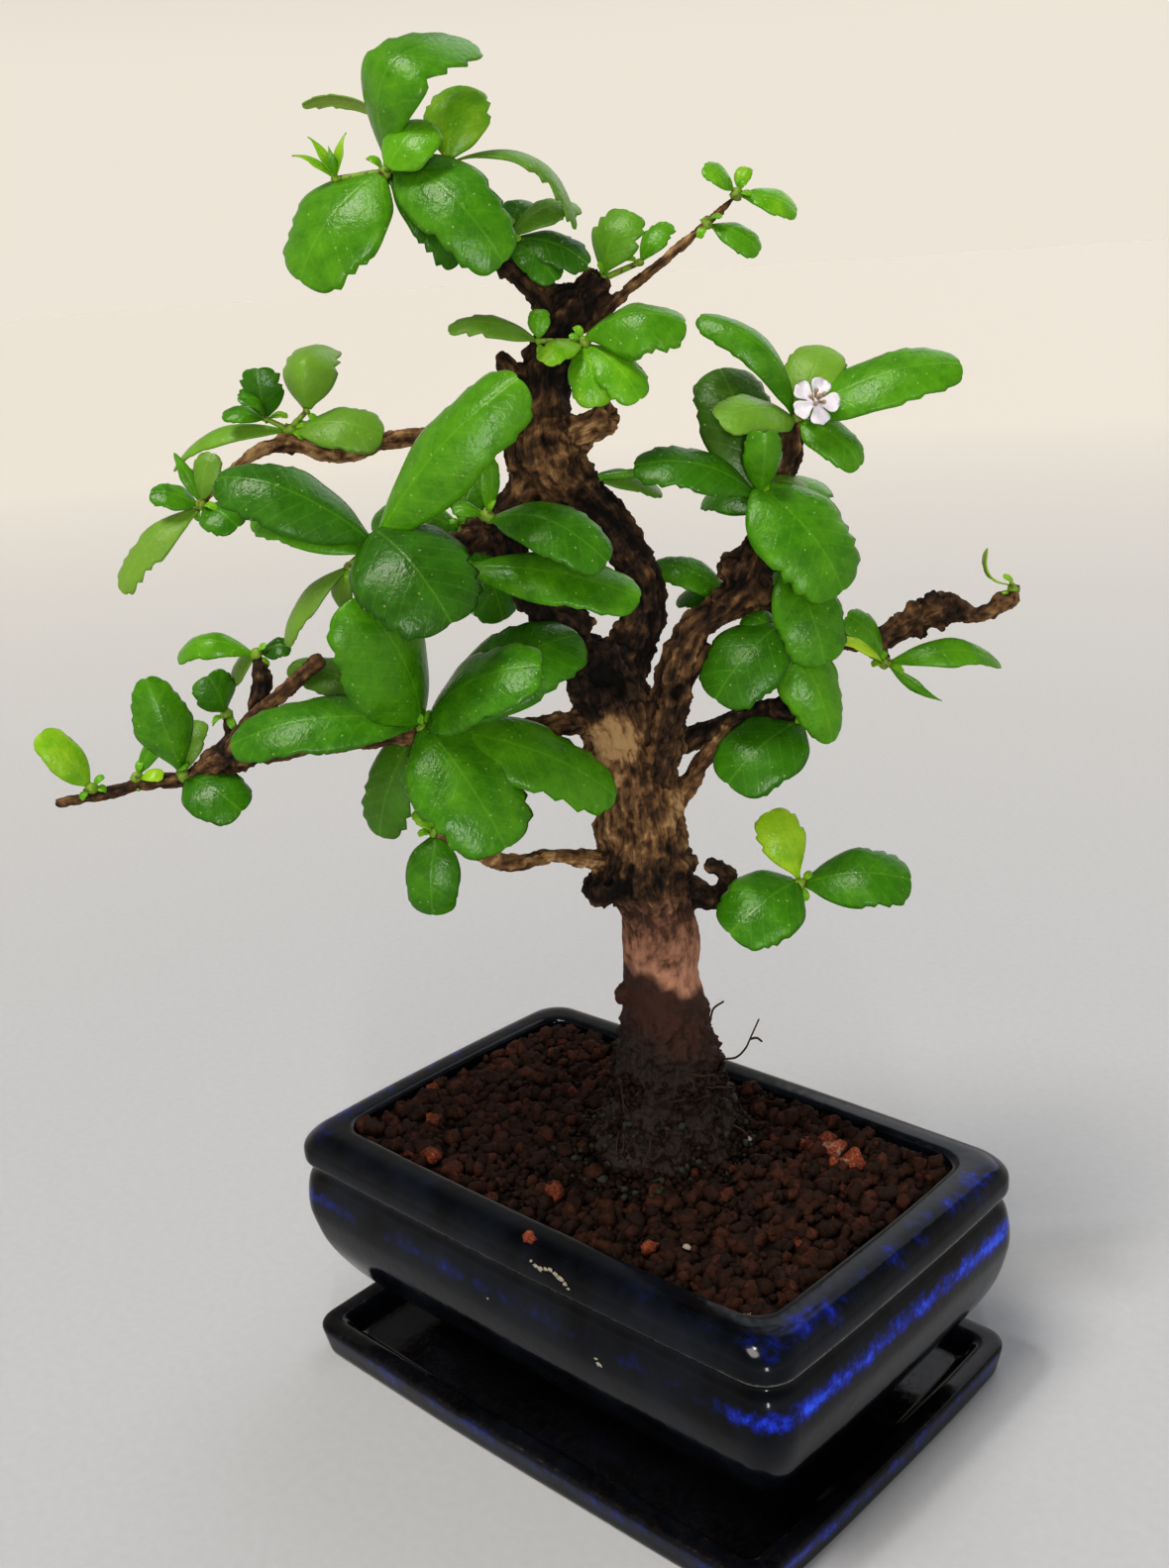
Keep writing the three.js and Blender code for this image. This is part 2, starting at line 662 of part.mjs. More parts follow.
// The leafy sprays. Each is a list of knots, the first seated on the wood and the others on short
// green stems from it, with the leaves at each knot: clock, lean, length, width, arch and roll.
const sprays = {
  apex_left: [
    {
      at: [-42, -12, 281.5],
      leaves: [
        [52, 2, 28, 16, 0.45],
        [48, 25, 13, 10],
        [322, 28, 32, 15, 0.14, 12],
        [302, 0, 21, 11],
        [235, 12, 27, 22, 0.08],
      ],
    },
    { at: [-41, -6, 291], leaves: [[164, -10, 17, 6, 0.15, 62]] },
    {
      at: [-30, -9, 283],
      leaves: [
        [75, -20, 15, 14, 0.1],
        [334, -4, 27, 9, 0.25, -30],
      ],
    },
    {
      at: [-52, -10, 280],
      leaves: [
        [118, 0, 9, 2.4],
        [146, 5, 9, 2.4],
        [72, 0, 8.5, 2.4],
      ],
    },
  ],
  apex_middle: [
    {
      at: [-20, -4, 268],
      leaves: [
        [22, -15, 16, 8, 0.15],
        [341, 15, 17, 10],
        [318, 30, 14, 8],
        [60, -40, 11, 8],
      ],
    },
  ],
  top_twig_tip: [
    {
      at: [27.6, 6, 273.6],
      leaves: [
        [343, 0, 12.5, 8],
        [137, 10, 8.5, 6],
        [66, -20, 6, 3.5],
      ],
    },
  ],
  top_twig: [{ at: [21, 5.4, 268.4], leaves: [[330, 10, 12, 7.5]] }],
  top_right: [
    { at: [-1.4, 2.4, 258.8], leaves: [[64, 0, 13.5, 12.5, 0.15]] },
    { at: [7, 6, 261.6], leaves: [[49, -15, 10, 6]] },
  ],
  upper_middle: [
    {
      at: [-6, -11.4, 247.2],
      leaves: [
        [8, 10, 22, 15, 0.16],
        [319, 28, 16, 9],
        [268, 36, 13, 10],
        [322, -16, 16, 5, 0.1, 40],
        [196, 46, 12, 6.5],
      ],
    },
    {
      at: [-15, -11, 248],
      leaves: [
        [165, 4, 17, 9],
        [84, -10, 6, 4.5],
      ],
    },
  ],
  left_front: [
    {
      at: [-50, -26, 212.4],
      leaves: [
        [45, 8, 43, 19, 0.1, 12],
        [154, 0, 32, 17, 0.12],
        [309, 38, 25, 21, 0.1],
      ],
    },
    {
      at: [-56, -25, 208],
      leaves: [
        [224, 0, 20, 9, 0.12, 20],
        [252, -22, 11, 6.5],
      ],
    },
  ],
  left_middle: [
    {
      at: [-28, -14.4, 214.4],
      leaves: [
        [340, 26, 27, 14, 0.2],
        [83, 0, 11.5, 4.5, 0.1, 40],
        [160, 10, 7, 4],
      ],
    },
  ],
  left_middle_low: [
    {
      at: [-35, -15.4, 204.6],
      leaves: [
        [349, 10, 37, 14.5, 0.08],
        [285, 20, 10, 1.8],
      ],
    },
  ],
  rosette: [
    {
      at: [-44.6, -22.6, 173],
      leaves: [
        [182, 8, 38.5, 14.5],
        [30, 25, 31, 18, 0.14],
        [17, -12, 33, 18],
        [301, 27, 33, 23, 0.1],
        [333, -2, 42, 17, 0.12],
        [246, -18, 25, 13],
        [108, 22, 33, 22, 0.12, 20],
        [156, -25, 33, 10],
        [128, -30, 29, 7],
      ],
    },
  ],
  low_left: [
    {
      at: [-44.4, -20.4, 149.4],
      leaves: [
        [263, 12, 17.5, 12],
        [128, -10, 6, 4],
      ],
    },
  ],
  left_tip: [{ at: [-119, -8.6, 160.8], leaves: [[121, 6, 15, 10, 0.1]] }],
  left_branch_outer: [
    {
      at: [-109, -8, 162.4],
      leaves: [
        [52, -20, 12, 5],
        [6, 15, 6, 3.4],
      ],
    },
  ],
  left_branch: [
    {
      at: [-98.6, -9.4, 162.6],
      leaves: [
        [96, 15, 22, 14, 0.12],
        [334, 28, 16, 13],
        [70, -22, 12, 6],
      ],
    },
  ],
  left_up: [
    {
      at: [-80, -6, 187.4],
      leaves: [
        [176, -6, 17, 8, 0.25],
        [12, 10, 7.5, 6],
        [214, -28, 10, 8],
      ],
    },
  ],
  left_up_low: [{ at: [-88.4, -5.4, 174.4], leaves: [[99, 28, 11, 9.5]] }],
  left_upper: [
    {
      at: [-70, 10, 232.4],
      leaves: [
        [356, 12, 20, 12],
        [192, -14, 24, 9, 0.14],
      ],
    },
    { at: [-66, 10, 236], leaves: [[70, 0, 16, 14, 0.28]] },
    {
      at: [-74.5, 9.4, 235],
      leaves: [
        [89, 20, 11, 9.5],
        [168, 5, 9, 5.5],
      ],
    },
  ],
  left_upper_tip: [
    {
      at: [-90.6, 8, 218],
      leaves: [
        [72, 0, 11, 7],
        [160, 10, 10.5, 7],
        [220, 8, 24, 10.5],
        [332, 30, 10.5, 9.5],
        [112, -6, 12, 3.4],
      ],
    },
  ],
  flower: [
    {
      at: [37.2, -4.2, 228.8],
      leaves: [
        [131, 2, 28, 10, 0.24],
        [62, -26, 17, 13],
        [12, 4, 35, 15, 0.08],
        [174, 34, 23, 12.5],
        [322, 20, 16, 9.5],
        [250, -35, 15, 10],
      ],
    },
  ],
  right_middle: [
    {
      at: [28, -12.4, 214.4],
      leaves: [
        [106, -26, 28, 17],
        [168, 6, 27, 13],
        [88, 34, 17, 9, 0.1, 20],
        [308, 20, 29, 21, 0.12],
        [10, -26, 17, 9],
      ],
    },
  ],
  right_low: [
    {
      at: [32, -8.4, 184],
      leaves: [
        [291, 14, 27, 16, 0.12],
        [222, 18, 22, 17.5],
        [150, -24, 9, 7],
        [330, -30, 15, 10],
      ],
    },
    { at: [33.2, -10, 197], leaves: [[288, 24, 22, 15]] },
  ],
  right_lower: [{ at: [35.4, -6.4, 162.4], leaves: [[211, 26, 22, 17.5, 0.12]] }],
  behind_fork: [
    {
      at: [24, 5.8, 188],
      leaves: [
        [150, -8, 20, 9, 0.2],
        [172, -30, 14, 7],
      ],
    },
  ],
  far_right: [
    {
      at: [58, 12, 171.2],
      leaves: [
        [124, 14, 15, 9],
        [356, -4, 27, 8.5, 0.18, 10],
        [322, 4, 13, 4, 0.1, 60],
        [146, 34, 17, 5],
      ],
    },
  ],
  far_right_tip: [{ at: [88.6, 18, 185], leaves: [[116, 0, 9, 2.6, -0.25, 60]] }],
  trio: [
    {
      at: [34.4, -8.4, 127.2],
      leaves: [
        [109, -8, 17, 12],
        [206, 24, 20.5, 18, 0.1],
        [2, 12, 25, 15.5, 0.12],
      ],
    },
  ],
  trunk_right: [
    {
      at: [-7.2, 3.2, 218.6],
      leaves: [
        [2, -4, 16, 3.4, 0.06, 60],
        [344, -22, 18, 7],
      ],
    },
  ],
  back_left: [
    {
      at: [-35.4, 21.4, 207],
      leaves: [
        [170, -20, 22, 12],
        [75, -35, 18, 12],
        [230, -30, 21, 12],
        [290, 5, 22, 13],
        [350, -42, 22, 12],
      ],
    },
  ],
  back_right: [
    {
      at: [33.2, 18.6, 205.6],
      leaves: [
        [95, -25, 18, 12],
        [20, -40, 20, 12],
        [280, -25, 21, 13],
        [160, -45, 18, 11],
      ],
    },
  ],
};

// The flower stands in front of its spray on a green stalk with a small calyx.
const flowerAt = [40, -11, 232.4];
const flowerFace = new THREE.Vector3(0.15, -0.9, 0.4).normalize();
const flowerRadius = 4.9;
const calyx = [
  [37.2, -4.2, 228.8, 0.9],
  [38.8, -7, 230, 0.8],
  [39.7, -9.5, 231.7, 1],
];

function spraySolid(name, wood) {
  const knots = sprays[name];
  const parts = [];
  knots.forEach((knot, i) => {
    const radius = i === 0 ? budRadius : sideStem * 1.6;
    parts.push(lumpSolid(knot.at, [radius, radius, radius]));
    if (i > 0) {
      const stem = [
        [...knots[0].at, sideStem],
        [...knot.at, sideStem],
      ];
      parts.push(limbSolid(stem, 5, 0, 0));
    }
    knot.leaves.forEach((leaf) => parts.push(leafSolid(knot.at, radius * 0.6, leaf)));
  });
  if (name === "flower") parts.push(limbSolid(calyx, 5, 0, 0));
  return biggest(joined(parts).subtract(wood));
}

// Turns a shape made round +Z so that it looks along the flower's face and stands at the flower.
function atFlower(geometry) {
  const turn = new THREE.Quaternion().setFromUnitVectors(new THREE.Vector3(0, 0, 1), flowerFace);
  geometry.applyQuaternion(turn);
  geometry.translate(...flowerAt);
  return solidOf(geometry);
}

// The corolla: five rounded petals, spread flat round a short tube.
function corollaSolid() {
  const tube = new THREE.CylinderGeometry(1.2, 0.9, 1.6, 6);
  tube.rotateX(Math.PI / 2);
  const parts = [atFlower(tube)];
  for (let i = 0; i < 5; i++) {
    const petal = new THREE.Shape();
    petal.moveTo(0, -0.5);
    petal.lineTo(flowerRadius * 0.45, -1.3);
    petal.absarc(flowerRadius * 0.66, 0, flowerRadius * 0.34, -2, 2, false);
    petal.lineTo(0, 0.5);
    const blade = new THREE.ExtrudeGeometry(petal, {
      depth: 0.6,
      bevelEnabled: false,
      curveSegments: 2,
    });
    blade.rotateY(-0.15);
    blade.rotateZ((i * 2 * Math.PI) / 5);
    parts.push(atFlower(blade));
  }
  return joined(parts);
}

// Five stamens and a style on a small disc, seated just above the corolla's tube.
function stamensSolid() {
  const base = 0.8 + clearance;
  const disc = new THREE.CylinderGeometry(1.4, 1.4, 0.5, 8);
  disc.rotateX(Math.PI / 2);
  disc.translate(0, 0, base + 0.25);
  const parts = [atFlower(disc)];
  for (let i = 0; i < 6; i++) {
    const height = i === 5 ? 3.2 : 2.4;
    const stalk = new THREE.CylinderGeometry(0.45, 0.25, height, 4);
    stalk.rotateX(Math.PI / 2);
    stalk.translate(i === 5 ? 0 : 1, 0, base + height / 2);
    stalk.rotateZ((i * 2 * Math.PI) / 5);
    parts.push(atFlower(stalk));
  }
  return joined(parts);
}

const finishes = {
  glaze: { color: 0x10131f, roughness: 0.2, metalness: 0 },
  soil: { color: 0x4a2c1e, roughness: 1, metalness: 0 },
  bark: { color: 0x6b5040, roughness: 0.85, metalness: 0 },
  leaf: { color: 0x4f9a22, roughness: 0.35, metalness: 0 },
  youngLeaf: { color: 0x86b53a, roughness: 0.4, metalness: 0 },
  petal: { color: 0xf2eff0, roughness: 0.6, metalness: 0 },
  stamen: { color: 0xd9cfae, roughness: 0.7, metalness: 0 },
};

// Sprays of young, paler leaves.
const youngSprays = ["left_tip", "top_twig", "top_twig_tip", "far_right_tip", "left_upper_tip"];

function meshOf(name, solid, finish) {
  const mesh = new THREE.Mesh(geometryOf(solid), new THREE.MeshStandardMaterial(finishes[finish]));
  mesh.name = name;
  return mesh;
}

function build() {
  const object = new THREE.Group();
  const tree = new THREE.Group();
  tree.position.set(treeX, treeY, 0);
  tree.rotation.z = treeTurn;
  object.add(tree);

  const wood = woodSolid();
  const clearOfWood = woodSolid(clearance);
  tree.updateMatrix();
  const trunkHole = solidOf(geometryOf(clearOfWood).applyMatrix4(tree.matrix));
  object.add(meshOf("saucer", saucerSolid(), "glaze"));
  object.add(meshOf("pot", potSolid(), "glaze"));
  object.add(meshOf("soil", soilSolid(trunkHole), "soil"));
  tree.add(meshOf("trunk", wood, "bark"));
  for (const name of Object.keys(sprays)) {
    const finish = youngSprays.includes(name) ? "youngLeaf" : "leaf";
    tree.add(meshOf("leaves_" + name, spraySolid(name, clearOfWood), finish));
  }
  tree.add(meshOf("corolla", corollaSolid(), "petal"));
  tree.add(meshOf("stamens", stamensSolid(), "stamen"));
  return object;
}

export default build();
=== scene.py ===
import math
from functools import partial

import bmesh
import bpy
import numpy as np
from mathutils import Matrix, Vector, kdtree, noise


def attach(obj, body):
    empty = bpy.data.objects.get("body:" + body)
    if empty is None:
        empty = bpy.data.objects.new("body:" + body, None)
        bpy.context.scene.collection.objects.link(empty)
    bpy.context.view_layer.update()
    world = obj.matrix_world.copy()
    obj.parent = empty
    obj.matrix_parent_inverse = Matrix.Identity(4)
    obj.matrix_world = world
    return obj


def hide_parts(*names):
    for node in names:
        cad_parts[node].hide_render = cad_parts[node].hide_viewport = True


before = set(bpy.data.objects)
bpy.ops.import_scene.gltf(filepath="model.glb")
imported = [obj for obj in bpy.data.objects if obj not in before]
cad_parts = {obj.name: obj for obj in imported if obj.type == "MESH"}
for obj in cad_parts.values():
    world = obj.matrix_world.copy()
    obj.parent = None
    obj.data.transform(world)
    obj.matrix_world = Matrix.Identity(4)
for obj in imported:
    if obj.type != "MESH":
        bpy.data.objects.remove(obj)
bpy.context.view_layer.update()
mm = 0.001
fullTurn = 2 * math.pi


def report(text):
    print("scene:", text, flush=True)


# Colours are written as sRGB hex and turned to linear here, dimmed where a share is given.
def colour(hexCode, share=1.0):
    parts = [int(hexCode[i : i + 2], 16) / 255 for i in (1, 3, 5)]
    linear = [p / 12.92 if p <= 0.04045 else ((p + 0.055) / 1.055) ** 2.4 for p in parts]
    return (*(p * share for p in linear), 1.0)


# The nodes work in metres, so a pattern that repeats every few millimetres has this scale.
def repeatEvery(millimetres):
    return 1000.0 / millimetres


# The nodes in use: what Blender calls each, the output it hands on, and what is always set.
nodeKinds = {
    "place": ("ShaderNodeTexCoord", "Object", {}),
    "way": ("ShaderNodeTexCoord", "Generated", {}),
    "upward": ("ShaderNodeSeparateXYZ", "Z", {}),
    "length": ("ShaderNodeVectorMath", "Value", {"operation": "LENGTH"}),
    "mark": ("ShaderNodeAttribute", "Fac", {}),
    "vectorMark": ("ShaderNodeAttribute", "Vector", {}),
    "noise": ("ShaderNodeTexNoise", "Fac", {}),
    "cells": ("ShaderNodeTexVoronoi", "Distance", {}),
    "range": ("ShaderNodeMapRange", 0, {}),
    "ramp": ("ShaderNodeValToRGB", "Color", {}),
    "share": ("ShaderNodeMix", 0, {"data_type": "FLOAT"}),
    "shade": ("ShaderNodeMix", 2, {"data_type": "RGBA"}),
    "bump": ("ShaderNodeBump", "Normal", {}),
    "add": ("ShaderNodeMath", 0, {"operation": "ADD"}),
    "times": ("ShaderNodeMath", 0, {"operation": "MULTIPLY"}),
    "timesAdd": ("ShaderNodeMath", 0, {"operation": "MULTIPLY_ADD"}),
    "cosine": ("ShaderNodeMath", 0, {"operation": "COSINE"}),
    "larger": ("ShaderNodeMath", 0, {"operation": "MAXIMUM"}),
}


# A setting is a property of the node, a value for one of its inputs, or a ramp's stops.
def setNode(tree, node, settings, links):
    for key, value in settings.items():
        if key == "stops":
            elements = node.color_ramp.elements
            while len(elements) < len(value):
                elements.new(1.0)
            for element, (position, shade) in zip(elements, value):
                element.position = position
                element.color = colour(shade)
        elif isinstance(key, str) and hasattr(node, key):
            setattr(node, key, value)
        else:
            node.inputs[key].default_value = value
    for key, source in links.items():
        tree.links.new(source, node.inputs[key])


def addNode(tree, kind, settings=None, links=None):
    blenderName, output, always = nodeKinds[kind]
    node = tree.nodes.new(blenderName)
    setNode(tree, node, {**always, **(settings or {})}, links or {})
    return node.outputs[output]


# Starts a material with its noises, each given by its size in millimetres, detail and roughness.
def startMaterial(name, *noises):
    material = bpy.data.materials.new(name)
    material.use_nodes = True
    add = partial(addNode, material.node_tree)
    links = {"Vector": add("place")}
    patterns = [
        add("noise", {"Scale": repeatEvery(size), "Detail": detail, "Roughness": rough}, links)
        for size, detail, rough in noises
    ]
    return material, add, patterns


def finishMaterial(material, settings, links):
    tree = material.node_tree
    setNode(tree, tree.nodes["Principled BSDF"], settings, links)
    return material


# A mark with patterns on top of it, each swinging about its middle by a gain of its own.
def swayed(add, mark, *patterns):
    for pattern, gain in patterns:
        swing = add("timesAdd", {1: gain, 2: -gain / 2}, {0: pattern})
        mark = add("add", None, {0: mark, 1: swing})
    return mark


# A ramp's stops: where each of a look's shades stands.
def stopsOf(look, **places):
    return {"stops": [(at, look[name]) for name, at in places.items()]}


def placeObject(name, data):
    thing = bpy.data.objects.new(name, data)
    bpy.context.scene.collection.objects.link(thing)
    return thing


def markPoints(mesh, marks):
    for label, values in marks.items():
        layer = mesh.attributes.new(label, "FLOAT", "POINT")
        layer.data.foreach_set("value", np.asarray(values, np.float32))


# Gathers several meshes, with what each point carries, into one.
class Heap:
    def __init__(self):
        self.points, self.faces, self.slots, self.marks, self.count = [], [], [], {}, 0

    def add(self, points, faces, slot=0, **marks):
        points = np.asarray(points, float)
        self.points.append(points)
        self.faces.extend(tuple(int(i) + self.count for i in face) for face in faces)
        self.slots.extend([slot] * len(faces))
        for label, values in marks.items():
            values = np.broadcast_to(np.asarray(values, float), len(points))
            self.marks.setdefault(label, []).append(values)
        self.count += len(points)

    def build(self, name, materials):
        mesh = bpy.data.meshes.new(name)
        mesh.from_pydata(np.vstack(self.points).tolist(), [], self.faces)
        mesh.update()
        mesh.shade_smooth()
        markPoints(mesh, {label: np.concatenate(values) for label, values in self.marks.items()})
        for material in materials:
            mesh.materials.append(material)
        mesh.polygons.foreach_set("material_index", np.asarray(self.slots, np.int32))
        return placeObject(name, mesh)


# The mesh that a piece's modifiers make of it.
def modified(piece):
    return bpy.data.meshes.new_from_object(piece.evaluated_get(bpy.context.evaluated_depsgraph_get()))


def triangles(mesh):
    return sum(len(p.vertices) - 2 for p in mesh.polygons)


# A smooth line through stations of any numbers, such as u, v, z and radius.
def smoothLine(stations, perSpan):
    at = np.asarray(stations, float)
    at = np.vstack([2 * at[0] - at[1], at, 2 * at[-1] - at[-2]])
    t = np.linspace(0, 1, perSpan, endpoint=False)[:, None]
    spans = []
    for a, b, c, d in zip(at, at[1:], at[2:], at[3:]):
        cubic = (2 * a - 5 * b + 4 * c - d) * t**2 + (3 * b - a - 3 * c + d) * t**3
        spans.append(0.5 * (2 * b + (c - a) * t + cubic))
    return np.vstack([*spans, at[-2][None]])


# Faces between rings of points, closed at both ends.
def ringFaces(rings, around):
    last = (rings - 1) * around
    faces = [
        (start + j, start + (j + 1) % around, start + around + (j + 1) % around, start + around + j)
        for start in range(0, last, around)
        for j in range(around)
    ]
    return [*faces, tuple(range(around))[::-1], tuple(range(last, last + around))]


# Faces of a thin sheet: its upper points come first, then its lower ones, and a rim joins them.
def sheetFaces(rows, cols):
    top = np.arange(rows * cols).reshape(rows, cols)
    under = top + rows * cols
    faces = []
    for i in range(rows - 1):
        for j in range(cols - 1):
            faces.append((top[i, j], top[i + 1, j], top[i + 1, j + 1], top[i, j + 1]))
            faces.append((under[i, j], under[i, j + 1], under[i + 1, j + 1], under[i + 1, j]))
        faces.append((top[i, 0], under[i, 0], under[i + 1, 0], top[i + 1, 0]))
        faces.append((top[i, -1], top[i + 1, -1], under[i + 1, -1], under[i, -1]))
    for j in range(cols - 1):
        faces.append((top[0, j], top[0, j + 1], under[0, j + 1], under[0, j]))
        faces.append((top[-1, j], under[-1, j], under[-1, j + 1], top[-1, j + 1]))
    return faces


# A round limb through stations of u, v, z and radius, with domed ends.
def limbRings(stations, perSpan, around):
    thinnest, domeOut, domeShare = 0.16, 0.5, 0.6
    line = smoothLine(stations, perSpan)
    centre, radius = line[:, :3], np.maximum(line[:, 3], thinnest)
    along = np.gradient(centre, axis=0)
    along /= np.linalg.norm(along, axis=1, keepdims=True)
    across = np.array([0.3, 1.0, 0.1])
    turn = np.linspace(0, fullTurn, around, endpoint=False)
    circle = np.stack([np.cos(turn), np.sin(turn)], 1)
    rings, frames = [], []
    for i in range(len(centre)):
        across = across - along[i] * across.dot(along[i])
        across /= np.linalg.norm(across)
        up = np.cross(along[i], across)
        frames.append((across, up))
        rings.append(centre[i] + radius[i] * (circle[:, :1] * across + circle[:, 1:] * up))
    first = centre[0] - domeOut * radius[0] * along[0] + domeShare * (rings[0] - centre[0])
    last = centre[-1] + domeOut * radius[-1] * along[-1] + domeShare * (rings[-1] - centre[-1])
    points = np.vstack([first, *rings, last])
    return points, ringFaces(len(rings) + 2, around), centre, radius, along, frames


def ballShape(level):
    ball = bpy.data.meshes.new("ball")
    shape = bmesh.new()
    bmesh.ops.create_icosphere(shape, subdivisions=level, radius=1.0)
    shape.to_mesh(ball)
    shape.free()
    points = np.array([v.co for v in ball.vertices])
    faces = [tuple(p.vertices) for p in ball.polygons]
    bpy.data.meshes.remove(ball)
    return points, faces


ballShapes = {level: ballShape(level) for level in (1, 2, 3)}


def lumpyBall(at, size, seed, rough, level):
    points, faces = ballShapes[level]
    swell = [1 + rough * noise.noise(Vector(p) * 1.7 + Vector((seed, 0, 0))) for p in points]
    return np.asarray(at) + points * np.asarray(swell)[:, None] * np.asarray(size), faces


# The tree's own frame inside the part's: u to one side, v across and z up, in millimetres.
treeFrame = {"x": 3.0, "y": 4.0, "turn": math.radians(44)}


def inPart(points):
    points = np.asarray(points, float)
    c, s = math.cos(treeFrame["turn"]), math.sin(treeFrame["turn"])
    x = treeFrame["x"] + points[..., 0] * c - points[..., 1] * s
    y = treeFrame["y"] + points[..., 0] * s + points[..., 1] * c
    return np.stack([x, y, points[..., 2]], -1) * mm


# Glazed stoneware of the pot and saucer, dipped and fired. The eye gets a wet near-black with cobalt
# mottles where the glaze pooled, clouds of dusty film, and dull brown where it ran thin.
glazeLook = {
    "deep": "#050609",
    "haze": "#151921",
    "cobaltDeep": "#0d1550",
    "cobalt": "#1a30b4",
    "cobaltPale": "#2c54e0",
    "thin": "#1d1714",
    "rubbed": "#77736f",
    "mottleMm": 1.7,
    "patchMm": 6.0,
    "cloudMm": 14.0,
    "orangePeelMm": 3.5,
    "gloss": 0.13,
    "wornGloss": 0.5,
}


def glazedStoneware():
    look = glazeLook
    material, add, (mottle, cloud, patch, peel) = startMaterial(
        "cobaltGlazedStoneware",
        (look["mottleMm"], 4.0, 0.7),
        (look["cloudMm"], 3.0, 0.6),
        (look["patchMm"], 3.0, 0.6),
        (look["orangePeelMm"], 1.0, 0.5),
    )
    cobalt, worn, bright, rubbed = (
        add("mark", {"attribute_name": label}) for label in ("cobalt", "worn", "bright", "rubbed")
    )
    dust = add("range", {1: 0.35, 2: 0.75}, {0: cloud})
    surface = add("shade", {6: colour(look["deep"]), 7: colour(look["haze"])}, {0: dust})
    # Cobalt shows where the mark, the cloud, the mottle and the patches together pass a level.
    pooled = swayed(add, cobalt, (cloud, 0.8), (mottle, 1.1), (patch, 1.3))
    blueShare = add("range", {1: 0.42, 2: 1.15}, {0: pooled})
    blue = add("ramp", stopsOf(look, cobaltDeep=0.0, cobalt=0.55, cobaltPale=1.0), {"Fac": blueShare})
    surface = add("shade", None, {0: add("times", None, {0: blueShare, 1: bright}), 6: surface, 7: blue})
    wornShare = add("range", {1: 0.35, 2: 0.8, 4: 0.8}, {0: swayed(add, worn, (mottle, 1.3))})
    surface = add("shade", {7: colour(look["thin"])}, {0: wornShare, 6: surface})
    # Arrises rubbed to a thin pale line, broken up by the mottle.
    rubbedShare = add("range", {1: 0.35, 2: 0.95, 4: 0.7}, {0: swayed(add, rubbed, (mottle, 1.2))})
    surface = add("shade", {7: colour(look["rubbed"])}, {0: rubbedShare, 6: surface})
    filmed = swayed(add, wornShare, (dust, 0.5))
    gloss = add("range", {3: look["gloss"], 4: look["wornGloss"]}, {0: filmed})
    bump = add("bump", {"Strength": 0.3, "Distance": 0.2 * mm}, {"Height": peel})
    settings = {"IOR": 1.5, "Specular IOR Level": 0.17}
    return finishMaterial(material, settings, {"Base Color": surface, "Roughness": gloss, "Normal": bump})


# The pot and the saucer: how far in from the widest line and how high, in millimetres, with the
# share of cobalt and of wear at each level, from the base up, over the rim and down inside.
potForm = {
    "halfLength": 75.0,
    "halfWidth": 48.0,
    "corner": 8.0,
    "cornerSlope": 0.12,
    "bow": 0.8,
    "shortWallFrom": 62.0,
    "lipArris": (53.2, 0.55),
    "baseArris": (9.4, 0.8),
    "rimFrom": 52.0,
    "levels": [
        [21.9, 8.8, 0, 0.9], [21, 8.9, 0, 0.9], [18, 9.8, 0, 0.5], [14, 12.8, 0, 0.1], [9.5, 17.8, 0, 0],
        [5, 24.3, 0, 0], [1.8, 30.8, 0.05, 0], [0.1, 37.8, 0.05, 0], [-0.2, 41, 0.2, 0],
        [-0.1, 44, 0.9, 0], [0.2, 46.6, 0.6, 0], [0.7, 48.8, 0.15, 0.1], [1.6, 50.2, 0.1, 0.1],
        [1.9, 51, 0, 0], [1.5, 52, 0, 0.1], [0.5, 52.8, 0, 0.7], [0.1, 53.6, 0.1, 0.4], [0, 55, 0.15, 0],
        [0.1, 56.8, 0.25, 0], [0.7, 58.2, 0.35, 0.1], [1.9, 59.6, 0.5, 0.1], [3.4, 60.6, 0.55, 0.1],
        [5, 60.95, 0.5, 0.05], [7, 61, 0.3, 0.1], [8.7, 60.9, 0.2, 0.35], [9.6, 60.4, 0, 0.4],
        [9.9, 59.2, 0, 0.1], [10, 54, 0, 0], [10.1, 44, 0, 0], [13, 28, 0, 0], [22.8, 13.8, 0, 0],
    ],
}
saucerForm = {
    "halfLength": 71.5,
    "halfWidth": 51.0,
    "corner": 6.5,
    "cornerSlope": 0.6,
    "bow": 0.8,
    "shortWallFrom": 60.0,
    "innerArris": (7.9, 0.12),
    "levels": [
        [2, 0, 0, 0.9], [1.5, 0.3, 0, 0.7], [1.1, 1.2, 0.1, 0.2], [0.7, 3.2, 0.45, 0], [0.2, 5.6, 0.7, 0],
        [0, 7, 0.6, 0.2], [0.2, 7.7, 0.3, 0.5], [0.9, 8.05, 0.1, 0.55], [2.6, 8.1, 0.1, 0.4],
        [4.2, 8, 0, 0.45], [5.1, 7.7, 0, 0.4], [5.9, 6.9, 0.1, 0.2], [6.8, 5, 0.1, 0.3],
        [7.7, 3.7, 0.1, 0.45], [9.5, 3.5, 0.15, 0.5], [30, 3.5, 0.15, 0.45],
    ],
}
# An L-shaped foot under each corner. Its levels: how far in, how high, and the share of wear.
footForm = {
    "inset": 23.0,
    "runLong": 33.0,
    "runShort": 15.0,
    "wide": 7.0,
    "round": 4.0,
    "tuck": 3.0,
    "levels": [(0.7, 3.8, 1.0), (0.0, 4.5, 0.7), (0.0, 12.0, 0.1)],
}
drain = {"radius": 6.0, "spacing": 56.0, "deep": 30.0, "level": 8.8, "around": 32}


def atHeight(ring, height):
    return np.column_stack([ring, np.full(len(ring), height)])


